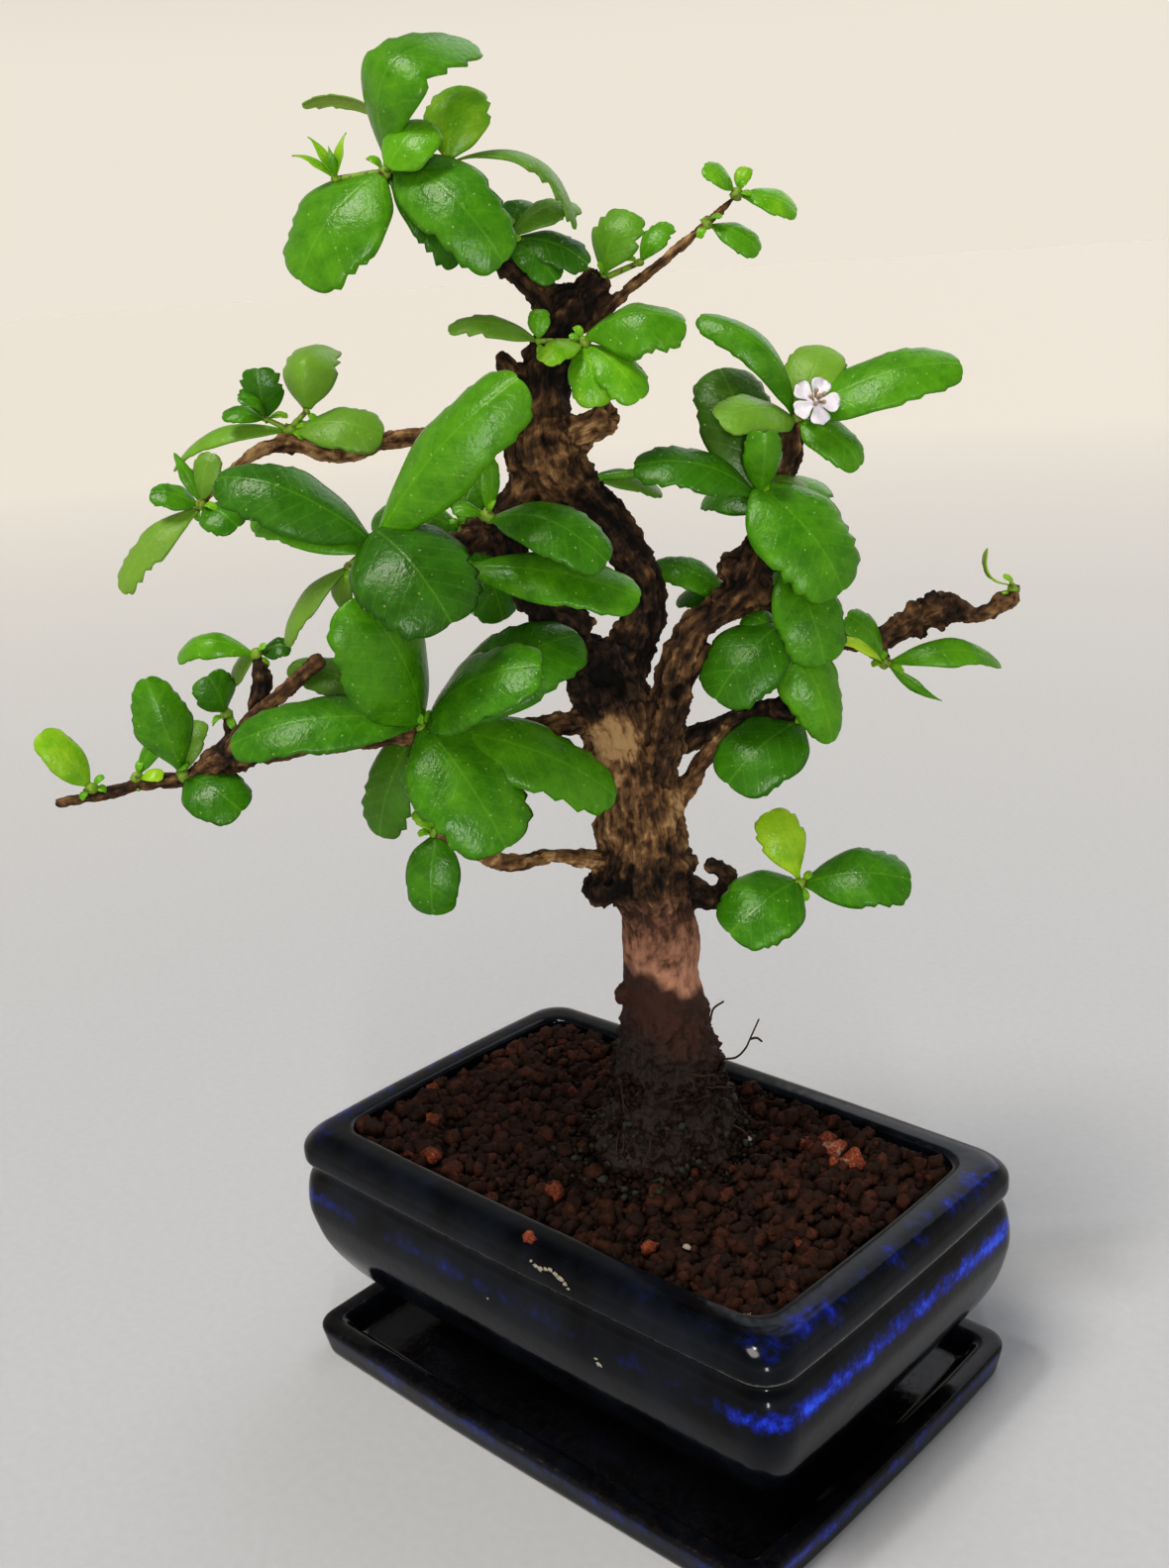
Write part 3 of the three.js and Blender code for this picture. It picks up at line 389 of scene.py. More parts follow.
def roundedRing(halfLength, halfWidth, corner, bow):
    cornerSteps, sideSteps = 9, 14
    ring = []
    for side in range(4):
        sx = 1 if side in (0, 3) else -1
        sy = 1 if side < 2 else -1
        for i in range(cornerSteps + 1):
            angle = math.pi / 2 * (side + i / cornerSteps)
            x = sx * (halfLength - corner) + corner * math.cos(angle)
            y = sy * (halfWidth - corner) + corner * math.sin(angle)
            ring.append((x, y))
        # The sides bow out a little between the corners.
        span = 2 * ((halfLength if side % 2 == 0 else halfWidth) - corner)
        for i in range(1, sideSteps):
            share = i / sideSteps
            out = bow * 4 * share * (1 - share)
            if side % 2 == 0:
                ring.append((sx * (span / 2 - span * share), sy * (halfWidth + out)))
            else:
                ring.append((sx * (halfLength + out), sy * (span / 2 - span * share)))
    return np.array(ring)


def pressedBody(form):
    smallestCorner, stepsPerLevel, wander = 2.4, 3, 0.22
    levels = smoothLine(form["levels"], stepsPerLevel)
    rings = []
    for inset, height, _, _ in levels:
        corner = max(smallestCorner, form["corner"] - inset * form["cornerSlope"])
        halfLength, halfWidth = form["halfLength"] - inset, form["halfWidth"] - inset
        rings.append(atHeight(roundedRing(halfLength, halfWidth, corner, form["bow"]), height))
    around = len(rings[0])
    points = np.vstack(rings)
    # Pressed by hand in a mould: the walls wander by up to a fraction of a millimetre.
    for point in points:
        at = Vector(point) * 0.035
        point[0] += wander * noise.noise(at)
        point[1] += wander * noise.noise(at + Vector((7.3, 0, 0)))
    cobalt, worn = (np.repeat(levels[:, k].clip(0, 1), around) for k in (2, 3))
    shortSide = np.clip((np.abs(points[:, 0]) - form["shortWallFrom"]) / 8, 0, 1)
    return points, ringFaces(len(rings), around), cobalt, worn, shortSide


# How near each height is to an arris, from 0 to 1.
def onArris(heights, level, wide):
    return np.exp(-(((heights - level) / wide) ** 2))


def footRing(sx, sy, trim):
    form = footForm
    outerX, outerY = potForm["halfLength"] - form["inset"], potForm["halfWidth"] - form["inset"]
    endX, endY = outerX - form["runLong"], outerY - form["runShort"]
    innerX, innerY = outerX - form["wide"], outerY - form["wide"]
    ring = [
        (endX + trim, outerY - trim),
        (endX + form["tuck"] + trim, innerY + trim),
        (innerX + trim, innerY + trim),
        (innerX + trim, endY + form["tuck"] + trim),
        (outerX - trim, endY + trim),
        (outerX - trim, outerY - form["round"]),
    ]
    reach = form["round"] - trim
    for i in range(1, 5):
        angle = math.pi / 2 * i / 4
        x = outerX - form["round"] + reach * math.cos(angle)
        y = outerY - form["round"] + reach * math.sin(angle)
        ring.append((x, y))
    ring = np.array(ring) * (sx, sy)
    return ring if sx * sy > 0 else ring[::-1]


def buildPot(glaze):
    form = potForm
    heap = Heap()
    points, faces, cobalt, worn, shortSide = pressedBody(form)
    height = points[:, 2]
    lip = onArris(height, *form["lipArris"]) * (0.45 + 0.45 * shortSide)
    # The short walls hold the strong cobalt; the long ones have dull, sparse spots of it.
    heap.add(
        points * mm,
        faces,
        cobalt=cobalt * (0.62 + 0.38 * shortSide),
        worn=worn,
        bright=(0.18 + 0.82 * shortSide) * np.where(height > form["rimFrom"], 0.6, 1.0),
        rubbed=np.maximum(lip, onArris(height, *form["baseArris"]) * 0.6),
    )
    for sx in (1, -1):
        for sy in (1, -1):
            rings = [atHeight(footRing(sx, sy, inset), high) for inset, high, _ in footForm["levels"]]
            around = len(rings[0])
            worn = np.repeat([share for _, _, share in footForm["levels"]], around)
            feet = np.vstack(rings) * mm
            heap.add(feet, ringFaces(len(rings), around), cobalt=0, worn=worn, bright=0, rubbed=0)
    pot = heap.build("potBody", [glaze])
    tool = Heap()
    turn = np.linspace(0, fullTurn, drain["around"], endpoint=False)
    for x in (drain["spacing"] / 2, -drain["spacing"] / 2):
        circle = np.column_stack([x + drain["radius"] * np.cos(turn), drain["radius"] * np.sin(turn)])
        low = drain["level"] - drain["deep"] / 2
        rings = [atHeight(circle, low + drain["deep"] * k) for k in (0, 1)]
        tool.add(np.vstack(rings) * mm, ringFaces(2, drain["around"]))
    cutter = tool.build("drainCutter", [glaze])
    cut = pot.modifiers.new("drains", "BOOLEAN")
    cut.operation, cut.object, cut.solver = "DIFFERENCE", cutter, "EXACT"
    cut.use_self = True
    bored = modified(pot)
    pot.modifiers.clear()
    pot.data = bored
    bpy.data.objects.remove(cutter)
    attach(pot, "root")
    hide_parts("pot")


def buildSaucer(glaze):
    heap = Heap()
    points, faces, cobalt, worn, shortSide = pressedBody(saucerForm)
    rubbed = onArris(points[:, 2], *saucerForm["innerArris"]) * 0.3
    heap.add(points * mm, faces, cobalt=cobalt, worn=worn, bright=0.25 + 0.4 * shortSide, rubbed=rubbed)
    saucer = heap.build("saucerDish", [glaze])
    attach(saucer, "root")
    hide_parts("saucer")


# Fired clay granules, watered and half dry. The eye gets dark red-brown crumbs with black gaps, a few
# brick-red ones, and peat with a trace of moss round the foot. The bed under the granules is coloured
# near-black: damp peat where it lies bare on the mound, and painted shade in the gaps between the granules.
soilLook = {
    "wet": "#130c09",
    "peat": "#21150f",
    "clay": "#2c1911",
    "dry": "#40241a",
    "bright": "#7a3b24",
    "grit": "#8f897c",
    "moss": "#262a1c",
    "poreMm": 0.8,
    "patchMm": 3.0,
}


def firedClay():
    look = soilLook
    noises = (look["patchMm"], 3.0, 0.7), (look["poreMm"], 4.0, 0.75)
    material, add, (patch, pores) = startMaterial("firedClayGranules", *noises)
    mixed = swayed(add, add("mark", {"attribute_name": "tone"}), (patch, 0.5), (pores, 0.7))
    stops = stopsOf(look, wet=0.0, peat=0.2, clay=0.42, dry=0.66, bright=0.84, grit=1.0)
    surface = add("ramp", stops, {"Fac": mixed})
    bump = add("bump", {"Strength": 0.8, "Distance": 0.4 * mm}, {"Height": pores})
    settings = {"Roughness": 0.75, "Specular IOR Level": 0.12}
    return finishMaterial(material, settings, {"Base Color": surface, "Normal": bump})


# A matt finish with a fine grain. It gives the eye grey-green dried moss, chalky white petals and dull
# cream anthers.
def plainFinish(name, shade, roughness, grainMm):
    material, add, (grain,) = startMaterial(name, (grainMm, 3.0, 0.5))
    surface = add("shade", {6: colour(shade, 0.8), 7: colour(shade)}, {0: grain})
    bump = add("bump", {"Strength": 0.4, "Distance": 0.2 * mm}, {"Height": grain})
    return finishMaterial(material, {"Roughness": roughness}, {"Base Color": surface, "Normal": bump})


soilForm = {
    "halfLength": 64.9,
    "halfWidth": 37.9,
    "top": 58.2,
    "sunken": 0.5,
    "mound": 5.0,
    "reach": 26.0,
    "piled": 1.4,
    "pileReach": (64.0, 37.0),
    "gridMm": 1.6,
    "bottom": 30.0,
    "wallGap": 1.2,
    "grains": 2250,
    "grainMm": (1.0, 2.5),
    "coarseFrom": 1.35,
    "brightShare": 0.005,
    "brightTone": 0.74,
    "markedLift": 0.8,
    "crumbs": 2600,
    "crumbMm": (0.4, 1.1),
    "crumbReach": 42.0,
    "peatReach": 35.0,
    "mossReach": 26.0,
    "mossTop": 74.0,
}
# The foot's half width at some heights, for the peat that clings to it.
footFlare = [[57, 60, 66, 75, 85], [21, 19.2, 17, 13.9, 11.7]]
# Single granules seen in the pot: x, y, size and tone.
markedGrains = [
    (39.1, 25.9, 2.9, 0.84), (45.2, 23.8, 3.1, 0.82), (34.8, 28.4, 2.6, 0.8), (41.5, 21.5, 2.2, 0.78),
    (-62.4, -11.4, 1.9, 0.76), (-38.6, -32.8, 2.6, 0.72), (-1.3, -28.2, 2.5, 0.74),
    (29, -30, 1.8, 0.78), (-50, -22, 2.2, 0.7),
]


def soilHeight(x, y):
    form = soilForm
    away = np.hypot(x - treeFrame["x"], y - treeFrame["y"])
    # It lies higher against the two far walls.
    reachX, reachY = form["pileReach"]
    piled = form["piled"] * np.maximum(np.clip(y / reachY, 0, 1), np.clip(-x / reachX, 0, 1)) ** 3
    rise = form["mound"] * np.exp(-((away / form["reach"]) ** 2))
    return form["top"] - form["sunken"] + piled + rise, away


def addBed(heap):
    form = soilForm
    halves = (form["halfLength"], form["halfWidth"])
    xs, ys = (np.linspace(-half, half, int(2 * half / form["gridMm"])) for half in halves)
    gridX, gridY = np.meshgrid(xs, ys, indexing="ij")
    places = zip(gridX.flat, gridY.flat)
    rough = np.array([noise.fractal(Vector((x, y, 0)) * 0.35, 1.0, 2.0, 3) for x, y in places])
    height = soilHeight(gridX, gridY)[0].ravel() - 0.7 + 0.9 * rough
    top = np.column_stack([gridX.ravel(), gridY.ravel(), height])
    count = len(top)
    index = np.arange(count).reshape(gridX.shape)
    faces = [
        (index[i, j], index[i + 1, j], index[i + 1, j + 1], index[i, j + 1])
        for i in range(len(xs) - 1)
        for j in range(len(ys) - 1)
    ]
    edge = [*index[:, 0], *index[-1, 1:], *index[-2::-1, -1], *index[0, -2:0:-1]]
    skirt = top[edge].copy()
    skirt[:, 2] = form["bottom"]
    for n in range(len(edge)):
        m = (n + 1) % len(edge)
        faces.append((edge[n], count + n, count + m, edge[m]))
    faces.append(tuple(count + n for n in range(len(edge)))[::-1])
    # The bed's near-black tone is painted shade in the gaps between granules, and damp peat where the mound
    # lies bare.
    heap.add(np.vstack([top, skirt]) * mm, faces, tone=0.05)


def buildSoil(clay):
    form = soilForm
    moss = plainFinish("driedMoss", soilLook["moss"], 0.9, 0.9)
    draws = np.random.default_rng(11)
    heap = Heap()
    addBed(heap)
    # Granules lie on the bed, fewer on the peaty mound, where fine crumbs take over.
    grains = [(*spot, True) for spot in markedGrains]
    inX, inY = form["halfLength"] - form["wallGap"], form["halfWidth"] - form["wallGap"]
    smallest, largest = form["grainMm"]
    for n in range(form["grains"]):
        x, y = draws.uniform(-inX, inX), draws.uniform(-inY, inY)
        shade = 0.2 + 0.42 * draws.random() ** 1.3
        if draws.random() < form["brightShare"]:
            shade = form["brightTone"]
        size = smallest + (largest - smallest) * draws.random() ** 1.5
        grains.append((x, y, size, shade, False))
    for n, (x, y, size, shade, kept) in enumerate(grains):
        ground, off = soilHeight(x, y)
        bare = draws.random() > (off / form["peatReach"]) ** 3
        stretch, lift = size * draws.uniform(0.72, 1.2, 3), draws.uniform(-0.9, 0.7)
        if kept:
            lift = form["markedLift"]
        elif bare and off < form["peatReach"]:
            continue
        level = 1 if size < form["coarseFrom"] else 2
        points, ball = lumpyBall((x, y, ground + lift), stretch, n * 3.7, 0.75, level)
        heap.add(points * mm, ball, tone=shade)
    for n in range(form["crumbs"]):
        angle, far = draws.uniform(0, fullTurn), form["crumbReach"] * draws.random() ** 0.7
        x, y = treeFrame["x"] + far * math.cos(angle), treeFrame["y"] + far * math.sin(angle)
        if abs(x) > form["halfLength"] - 1 or abs(y) > form["halfWidth"] - 1:
            continue
        stretch = draws.uniform(*form["crumbMm"]) * draws.uniform(0.7, 1.4, 3)
        at = (x, y, soilHeight(x, y)[0] + draws.uniform(-0.5, 0.4))
        points, ball = lumpyBall(at, stretch, n, 0.8, 1)
        mossy = draws.random() < 0.14 and far < form["mossReach"]
        heap.add(points * mm, ball, int(mossy), tone=0.08 + 0.2 * draws.random())
    # Peat clings to the flare of the foot, thinner higher up.
    for n in range(form["crumbs"] // 3):
        angle, high = draws.uniform(0, fullTurn), 58 + 24 * draws.random() ** 1.6
        reach = np.interp(high, *footFlare) + draws.uniform(-0.3, 0.4)
        stretch = draws.uniform(0.35, 0.95) * draws.uniform(0.7, 1.3, 3)
        points, ball = lumpyBall((0, 0, 0), stretch, n, 0.8, 1)
        at = (3 + reach * math.cos(angle), reach * math.sin(angle), high)
        mossy = draws.random() < 0.2 and high < form["mossTop"]
        heap.add(inPart(points + at), ball, int(mossy), tone=0.1 + 0.2 * draws.random())
    soil = heap.build("soilBed", [clay, moss])
    report(f"soil has {triangles(soil.data)} triangles")
    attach(soil, "root")
    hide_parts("soil")


# The wood, in the tree's frame: stations of u, v, z and radius, and how each limb looks, with its
# own lightness from 0, damp black, to 1, dry tan.
limbs = {
    "mainStem": (0.5, [
        [1, 0, 44, 12], [2, 0, 57, 18.5], [3, 0, 66, 17], [3, 0, 75, 13.8], [3, 0, 85, 11.6],
        [3, 0, 95, 10], [2.5, 0, 104, 8.8], [3, 0, 112, 9.1], [2.5, 0, 120, 8.4],
        [1.5, 0, 125, 9], [0, 0, 130, 10.8], [0, 0, 136, 10.3], [-0.5, 0, 146, 10],
        [-1.5, 0, 157, 8.8], [-4, 0, 167, 9.2], [-7, 0, 176, 8], [-9, 0, 182, 5],
    ]),
    "rightStem": (0.27, [
        [-6, 0, 170, 5.5], [0, 0, 181, 5], [4, 0, 192, 4.4], [1, 0, 202, 4.5], [-5, 1, 212, 4.6],
        [-13, 0, 220, 7], [-16, 0, 227, 7.8], [-15, 0, 235, 5.6], [-13.5, 0, 242, 5.4],
        [-11, 0, 248, 4.6], [-8.5, 0, 253.5, 4.8],
    ]),
    "leftStem": (0.25, [
        [-9, 0, 176, 4.5], [-17, -3, 190, 4], [-23, -4, 201, 4], [-25, -3, 209, 4.4],
        [-20, -1, 217, 4.6], [-16, 0, 224, 5],
    ]),
    "rightLimb": (0.5, [
        [3, -3, 152, 4.8], [6.5, -5.4, 165, 4.6], [9, -5.4, 176, 4.2], [13.4, -4.6, 185.4, 3.4],
        [20, -3.6, 189.6, 3.3], [25.4, -4, 195, 5], [29, -5, 204.4, 3.2], [32.5, -5, 214, 2.6],
        [35.5, -4, 222, 2.9], [37, -4, 228, 1.3],
    ]),
    "brokenStub": (0.5, [[9, -5, 172, 2.4], [13, -6, 177.4, 2.1], [16.6, -6, 182, 1.3]]),
    "lowerRight": (0.25, [
        [4, 0, 158, 3], [16, -2, 162, 2.3], [26, -4, 166, 2.4], [33, -6, 168, 2.8],
        [34, -8, 175, 2], [32, -8, 183, 1.3],
    ]),
    "lowerRightEnd": (0.25, [[31, -6, 168, 2.2], [35, -6, 163, 1.4]]),
    "lowStrut": (0.7, [[6, 0, 142, 3], [13, -1, 153, 2.2], [20, -3, 163, 1.9]]),
    "lowKnob": (0.3, [[7, 0, 126, 3.5], [14, 0, 122, 3], [19, 0, 123, 2.8], [22, -1, 123, 1.6]]),
    "hook": (0.35, [[17, 0, 122, 2.4], [19, 0, 127, 2.2], [15, 0, 130, 1.9]]),
    "trioTwig": (0.45, [[19, 0, 122, 1.8], [27, -3, 121, 1.3], [34, -8, 126.6, 1.1]]),
    "farRight": (0.5, [
        [25, -3, 193, 3], [41, 8, 180, 2.4], [57, 15, 176, 2.6], [65, 17, 179.5, 3.3],
        [72, 17, 182, 3.8], [80, 18, 179.5, 1.7], [87, 18, 182.5, 2.4], [88.5, 18, 184, 1.6],
    ]),
    "farRightSpur": (0.45, [[57, 14, 176, 1.8], [58, 12.6, 172, 1.2]]),
    "lowTwig": (0.8, [
        [-6, -2, 133, 3], [-20, -9, 138, 1.6], [-29, -14, 138.6, 2], [-37, -18, 143, 1.3],
        [-44, -20, 148.6, 1.1],
    ]),
    "leftBough": (0.55, [
        [-6, 0, 166, 3.4], [-24, -12, 168, 2.4], [-36, -18, 170, 2.4], [-46, -20, 171, 2.2],
        [-66, -16, 169, 2], [-80, -11, 167, 2.6], [-87, -10, 166.5, 4.2], [-93, -9, 164, 2.6],
        [-98, -8, 161.5, 1.9], [-107, -8, 161, 1.6], [-118, -8, 159, 1.5], [-127, -8, 158, 1.1],
    ]),
    "leftBoughUp": (0.55, [
        [-87, -10, 166, 2.8], [-85, -11, 171, 2], [-80, -13, 176, 1.7], [-73, -15, 181.5, 1.6],
        [-65.4, -16, 187.4, 1.8],
    ]),
    "leftBoughBud": (0.2, [[-82, -9, 175, 1.4], [-79.5, -7, 181, 2.3], [-80, -6, 186.4, 1.1]]),
    "leftSpur": (0.35, [[-87, -10, 168, 2], [-88, -6, 173.5, 1.1]]),
    "upperBough": (0.8, [
        [-15, 0, 228, 3], [-25, 1, 229.5, 2.1], [-36, 6, 229.5, 1.9], [-48, 9, 229, 1.9],
        [-59, 10, 226.4, 2], [-70, 10, 229.5, 2.2], [-80, 9.5, 227, 1.3], [-90, 8, 218.5, 1.0],
    ]),
    "frontBough": (0.45, [
        [-23, -2, 208, 3.6], [-33, -9, 209, 2.5], [-43, -20, 208, 2], [-50, -26, 211.6, 1.3],
    ]),
    "middleSpur": (0.4, [[-25, -4, 209, 2.4], [-28, -13.6, 213.6, 1.3]]),
    "lowSpur": (0.4, [[-31, -8, 209, 2], [-35, -14.6, 205.4, 1.2]]),
    "cutStub": (0.62, [[-15, 0, 226, 4], [-8, -2, 229, 3.4], [-2, -4, 231.5, 3.1]]),
    "leftArm": (0.4, [
        [-9, 0, 250, 4], [-14, 0, 257, 3.2], [-20, -3, 263, 2.6], [-32, -8, 272, 1.7],
        [-41.6, -12, 280.6, 1.2],
    ]),
    "leftArmSpur": (0.4, [[-18.6, -2, 262, 1.8], [-20, -4, 267.6, 1.2]]),
    "rightArm": (0.28, [[-9, 0, 251, 4.2], [-5, 1, 255.5, 3.8], [-2, 2, 258.4, 3]]),
    "topTwig": (0.62, [
        [-5, 0, 250, 1.8], [5, 3, 257, 1.2], [18, 5, 266, 1], [27, 6, 272.8, 0.8],
    ]),
    "frontSpur": (0.35, [[-10, 0, 246, 2.2], [-6.4, -10.6, 247, 1.3]]),
    "brownBud": (0.5, [[-14, 0, 240, 2.6], [-20, -2, 241, 2.6], [-23, -4, 245, 2]]),
    "rightSpur": (0.35, [[30, -5, 208, 2], [28, -11.6, 213.6, 1.2]]),
    "forkSpur": (0.35, [[25, -2, 191, 2], [24, 5, 188.4, 1.2]]),
    "backLeft": (0.4, [[-20, 0, 214, 3], [-28, 12, 210, 2.1], [-35, 21, 207, 1.3]]),
    "backRight": (0.4, [[27, -4, 198, 2.6], [30, 8, 200, 1.9], [33, 18, 205, 1.2]]),
}
stoutLimbs = ("mainStem", "rightStem", "leftStem", "rightLimb")
# Burrs on the wood: place and half size.
burrs = [
    [(-6, -5.6, 175.5), (7.4, 3.4, 8.4)], [(-9, -4, 128), (4.5, 5, 4)],
    [(7, -3, 131), (5, 6, 4)], [(0, 8, 131), (8, 4.5, 4)], [(-8, -3, 158), (4, 6, 5)],
    [(-13, -3, 189), (5, 4, 5)], [(24.6, -4, 196.6), (5, 4.4, 5.6)], [(-20, -2, 225), (4.5, 5, 5)],
    [(-8, 1, 256), (4, 4, 3)], [(20.4, -6, 192), (2.6, 2.2, 2.8)], [(21.4, -5, 199.6), (2.2, 2.4, 2.4)],
    [(30, -8, 199), (2.8, 2.4, 2.2)], [(29.6, -8, 192), (2.2, 2, 2.6)], [(65, 14.6, 182.4), (2, 1.8, 2)],
    [(69, 14, 185.4), (2.2, 2, 2)], [(73.4, 15, 184.4), (2, 2, 1.8)], [(66.6, 15, 177), (2, 1.6, 1.6)],
    [(71.4, 14, 179), (2, 2, 1.8)], [(-7, -2, 100.4), (1.6, 2, 2.4)], [(13, -3, 84), (2.2, 2, 2.6)],
]
# Old branch scars that face away from the limb's middle: place, radius, depth, lip and darkness, the
# darkness being painted shade inside the hollow (below zero, the cut end is paler instead).
scars = [
    ((-6.4, -9.6, 178.6), 6.8, 2.4, 1.3, 0.3), ((2.5, -8.8, 114.5), 2.6, 0.7, 0.5, 0.25),
    ((-5, -10.5, 130), 3.0, 1.0, 0.8, 0.25), ((9.4, -9.8, 173.4), 2.0, 1.6, 0.6, 0.7),
    ((-15, -8, 228), 2.6, 0.9, 0.6, 0.25), ((-1.2, -5, 232.2), 2.6, 1.0, 0.6, -0.2),
]
# Where the bark is paler or darker than its limb: place, reach and change.
tints = [
    ((-5.7, -9, 163), 7, 0.75), ((-7, -9, 176), 10, -0.16), ((10, -7, 146), 7, 0.25),
    ((1, -10, 127), 7, -0.1), ((11, -8, 181), 6, 0.05), ((-2, -9, 138), 6, 0.15),
    ((3, -9, 154), 5, -0.2), ((-9, -7, 127), 8, -0.3), ((-4, -9, 181), 3.4, 0.12),
    ((-14, -6, 226), 14, 0.34), ((-22, -4, 218), 8, 0.2), ((-11, -5, 242), 6, -0.1),
    ((27, -6, 200), 9, -0.12),
]

# Living bark on old wood, damp at the foot. The eye gets a dark, fibrous and knobbly skin with dry tan
# strips, one smooth pinkish collar low down, and black wet wood where it enters the soil. Its lightness
# also follows the relief, with painted shade in the cracks and a painted highlight on the raised parts.
barkLook = {
    "black": "#0d0906",
    "dark": "#211710",
    "brown": "#453120",
    "tan": "#77593a",
    "pale": "#a1835c",
    "collarPale": "#ad8168",
    "collar": "#8a6350",
    "collarDark": "#4a3225",
    "damp": "#3d251c",
    "soaked": "#241b17",
    "fibreMm": 1.3,
    "blotchMm": 4.0,
}


def livingBark():
    look = barkLook
    material, add, (blotch,) = startMaterial("livingBark", (look["blotchMm"], 5.0, 0.7))
    light, smooth, wet = (add("mark", {"attribute_name": label}) for label in ("light", "smooth", "wet"))
    # Fibres run along each limb: the mark holds the place round it, and along it drawn out fivefold.
    drawn = add("vectorMark", {"attribute_name": "grainAt"})
    fibreSettings = {"Scale": repeatEvery(look["fibreMm"]), "Detail": 5.0, "Roughness": 0.7}
    fibre = add("noise", fibreSettings, {"Vector": drawn})
    tone = swayed(add, light, (fibre, 1.25), (blotch, 0.9))
    rough = add("ramp", stopsOf(look, black=0.0, dark=0.22, brown=0.5, tan=0.8, pale=1.0), {"Fac": tone})
    # The collar is streaked brown at its top and pinkish tan lower down.
    lit = add("times", {1: 0.45}, {0: light})
    for pattern, gain in ((blotch, 0.6), (fibre, 0.24)):
        lit = add("timesAdd", {1: gain}, {0: pattern, 2: lit})
    collar = add("ramp", stopsOf(look, collarDark=0.44, collar=0.62, collarPale=0.84), {"Fac": lit})
    surface = add("shade", None, {0: smooth, 6: rough, 7: collar})
    # Damp red-brown under the collar, black where peat stays wet against it.
    soaked = colour(look["soaked"])
    blotchShare = add("range", {1: 0.25, 2: 0.55}, {0: blotch})
    blotched = add("shade", {6: soaked, 7: colour(look["damp"])}, {0: blotchShare})
    surface = add("shade", None, {0: add("range", {2: 0.5}, {0: wet}), 6: surface, 7: blotched})
    surface = add("shade", {7: soaked}, {0: add("range", {1: 0.5}, {0: wet}), 6: surface})
    dull = add("range", {3: 0.82, 4: 0.55}, {0: wet})
    relief = add("add", None, {0: fibre, 1: blotch})
    bump = add("bump", {"Strength": 0.9, "Distance": 0.7 * mm}, {"Height": relief})
    links = {"Base Color": surface, "Roughness": dull, "Normal": bump}
    return finishMaterial(material, {"Specular IOR Level": 0.22}, links)


# The stem's zones by height, and the reliefs of its skin, in millimetres.
barkForm = {
    "voxelMm": 0.615,
    "stoutFrom": 4.2,
    "plainBelow": 128,
    "collarTop": 126,
    "collarFoot": 93,
    "ringFrom": 124,
    "ringAt": 131,
    "darkFrom": 160,
    "dampFrom": 106,
    "soakedFrom": 94,
    "cakedFrom": 100,
    "buriedBelow": 80,
    "streak": 0.6,
    "lump": 0.95,
    "scale": 0.8,
    "crack": 0.75,
}


# Puts the limbs and their knobs into the heap, and gives samples of the wood's middle lines.
def growWood(heap):
    samples = []
    draws = np.random.default_rng(5)
    for limb, (name, (lightness, stations)) in enumerate(limbs.items()):
        thickest = max(s[3] for s in stations)
        around = 20 if thickest > barkForm["stoutFrom"] else 12
        points, faces, centre, radius, along, frames = limbRings(stations, 5, around)
        heap.add(points * mm, faces)
        run = np.concatenate([[0], np.cumsum(np.linalg.norm(np.diff(centre, axis=0), axis=1))])
        for at, wide, cross, way, reached in zip(centre, radius, frames, along, run):
            samples.append((at, wide, cross, way, reached, lightness, name, limb))
        # Old bud scars and spurs stand out all along the limb.
        for k in range(int(run[-1] / (2.2 * thickest))):
            i = draws.integers(1, len(centre) - 1)
            if name == "mainStem" and centre[i][2] < barkForm["plainBelow"]:
                continue
            angle = draws.uniform(0, fullTurn)
            out = frames[i][0] * math.cos(angle) + frames[i][1] * math.sin(angle)
            size = radius[i] * draws.uniform(0.3, 0.55) * (0.6 if radius[i] > 6 else 1)
            at = centre[i] + out * radius[i] * draws.uniform(0.75, 1.0)
            points, faces = lumpyBall(at, size * draws.uniform(0.7, 1.4, 3), k * 2.3, 0.6, 2)
            heap.add(points * mm, faces)
    for n, (at, size) in enumerate(burrs):
        points, faces = lumpyBall(at, size, n * 5.1, 0.3, 3)
        heap.add(points * mm, faces)
    return samples


# Noise that follows a limb: this fine round it, and drawn out along it.
def wrappedNoise(ring, fine, drawnOut):
    return noise.noise(Vector((ring[0] / fine, ring[1] / fine, drawnOut)))


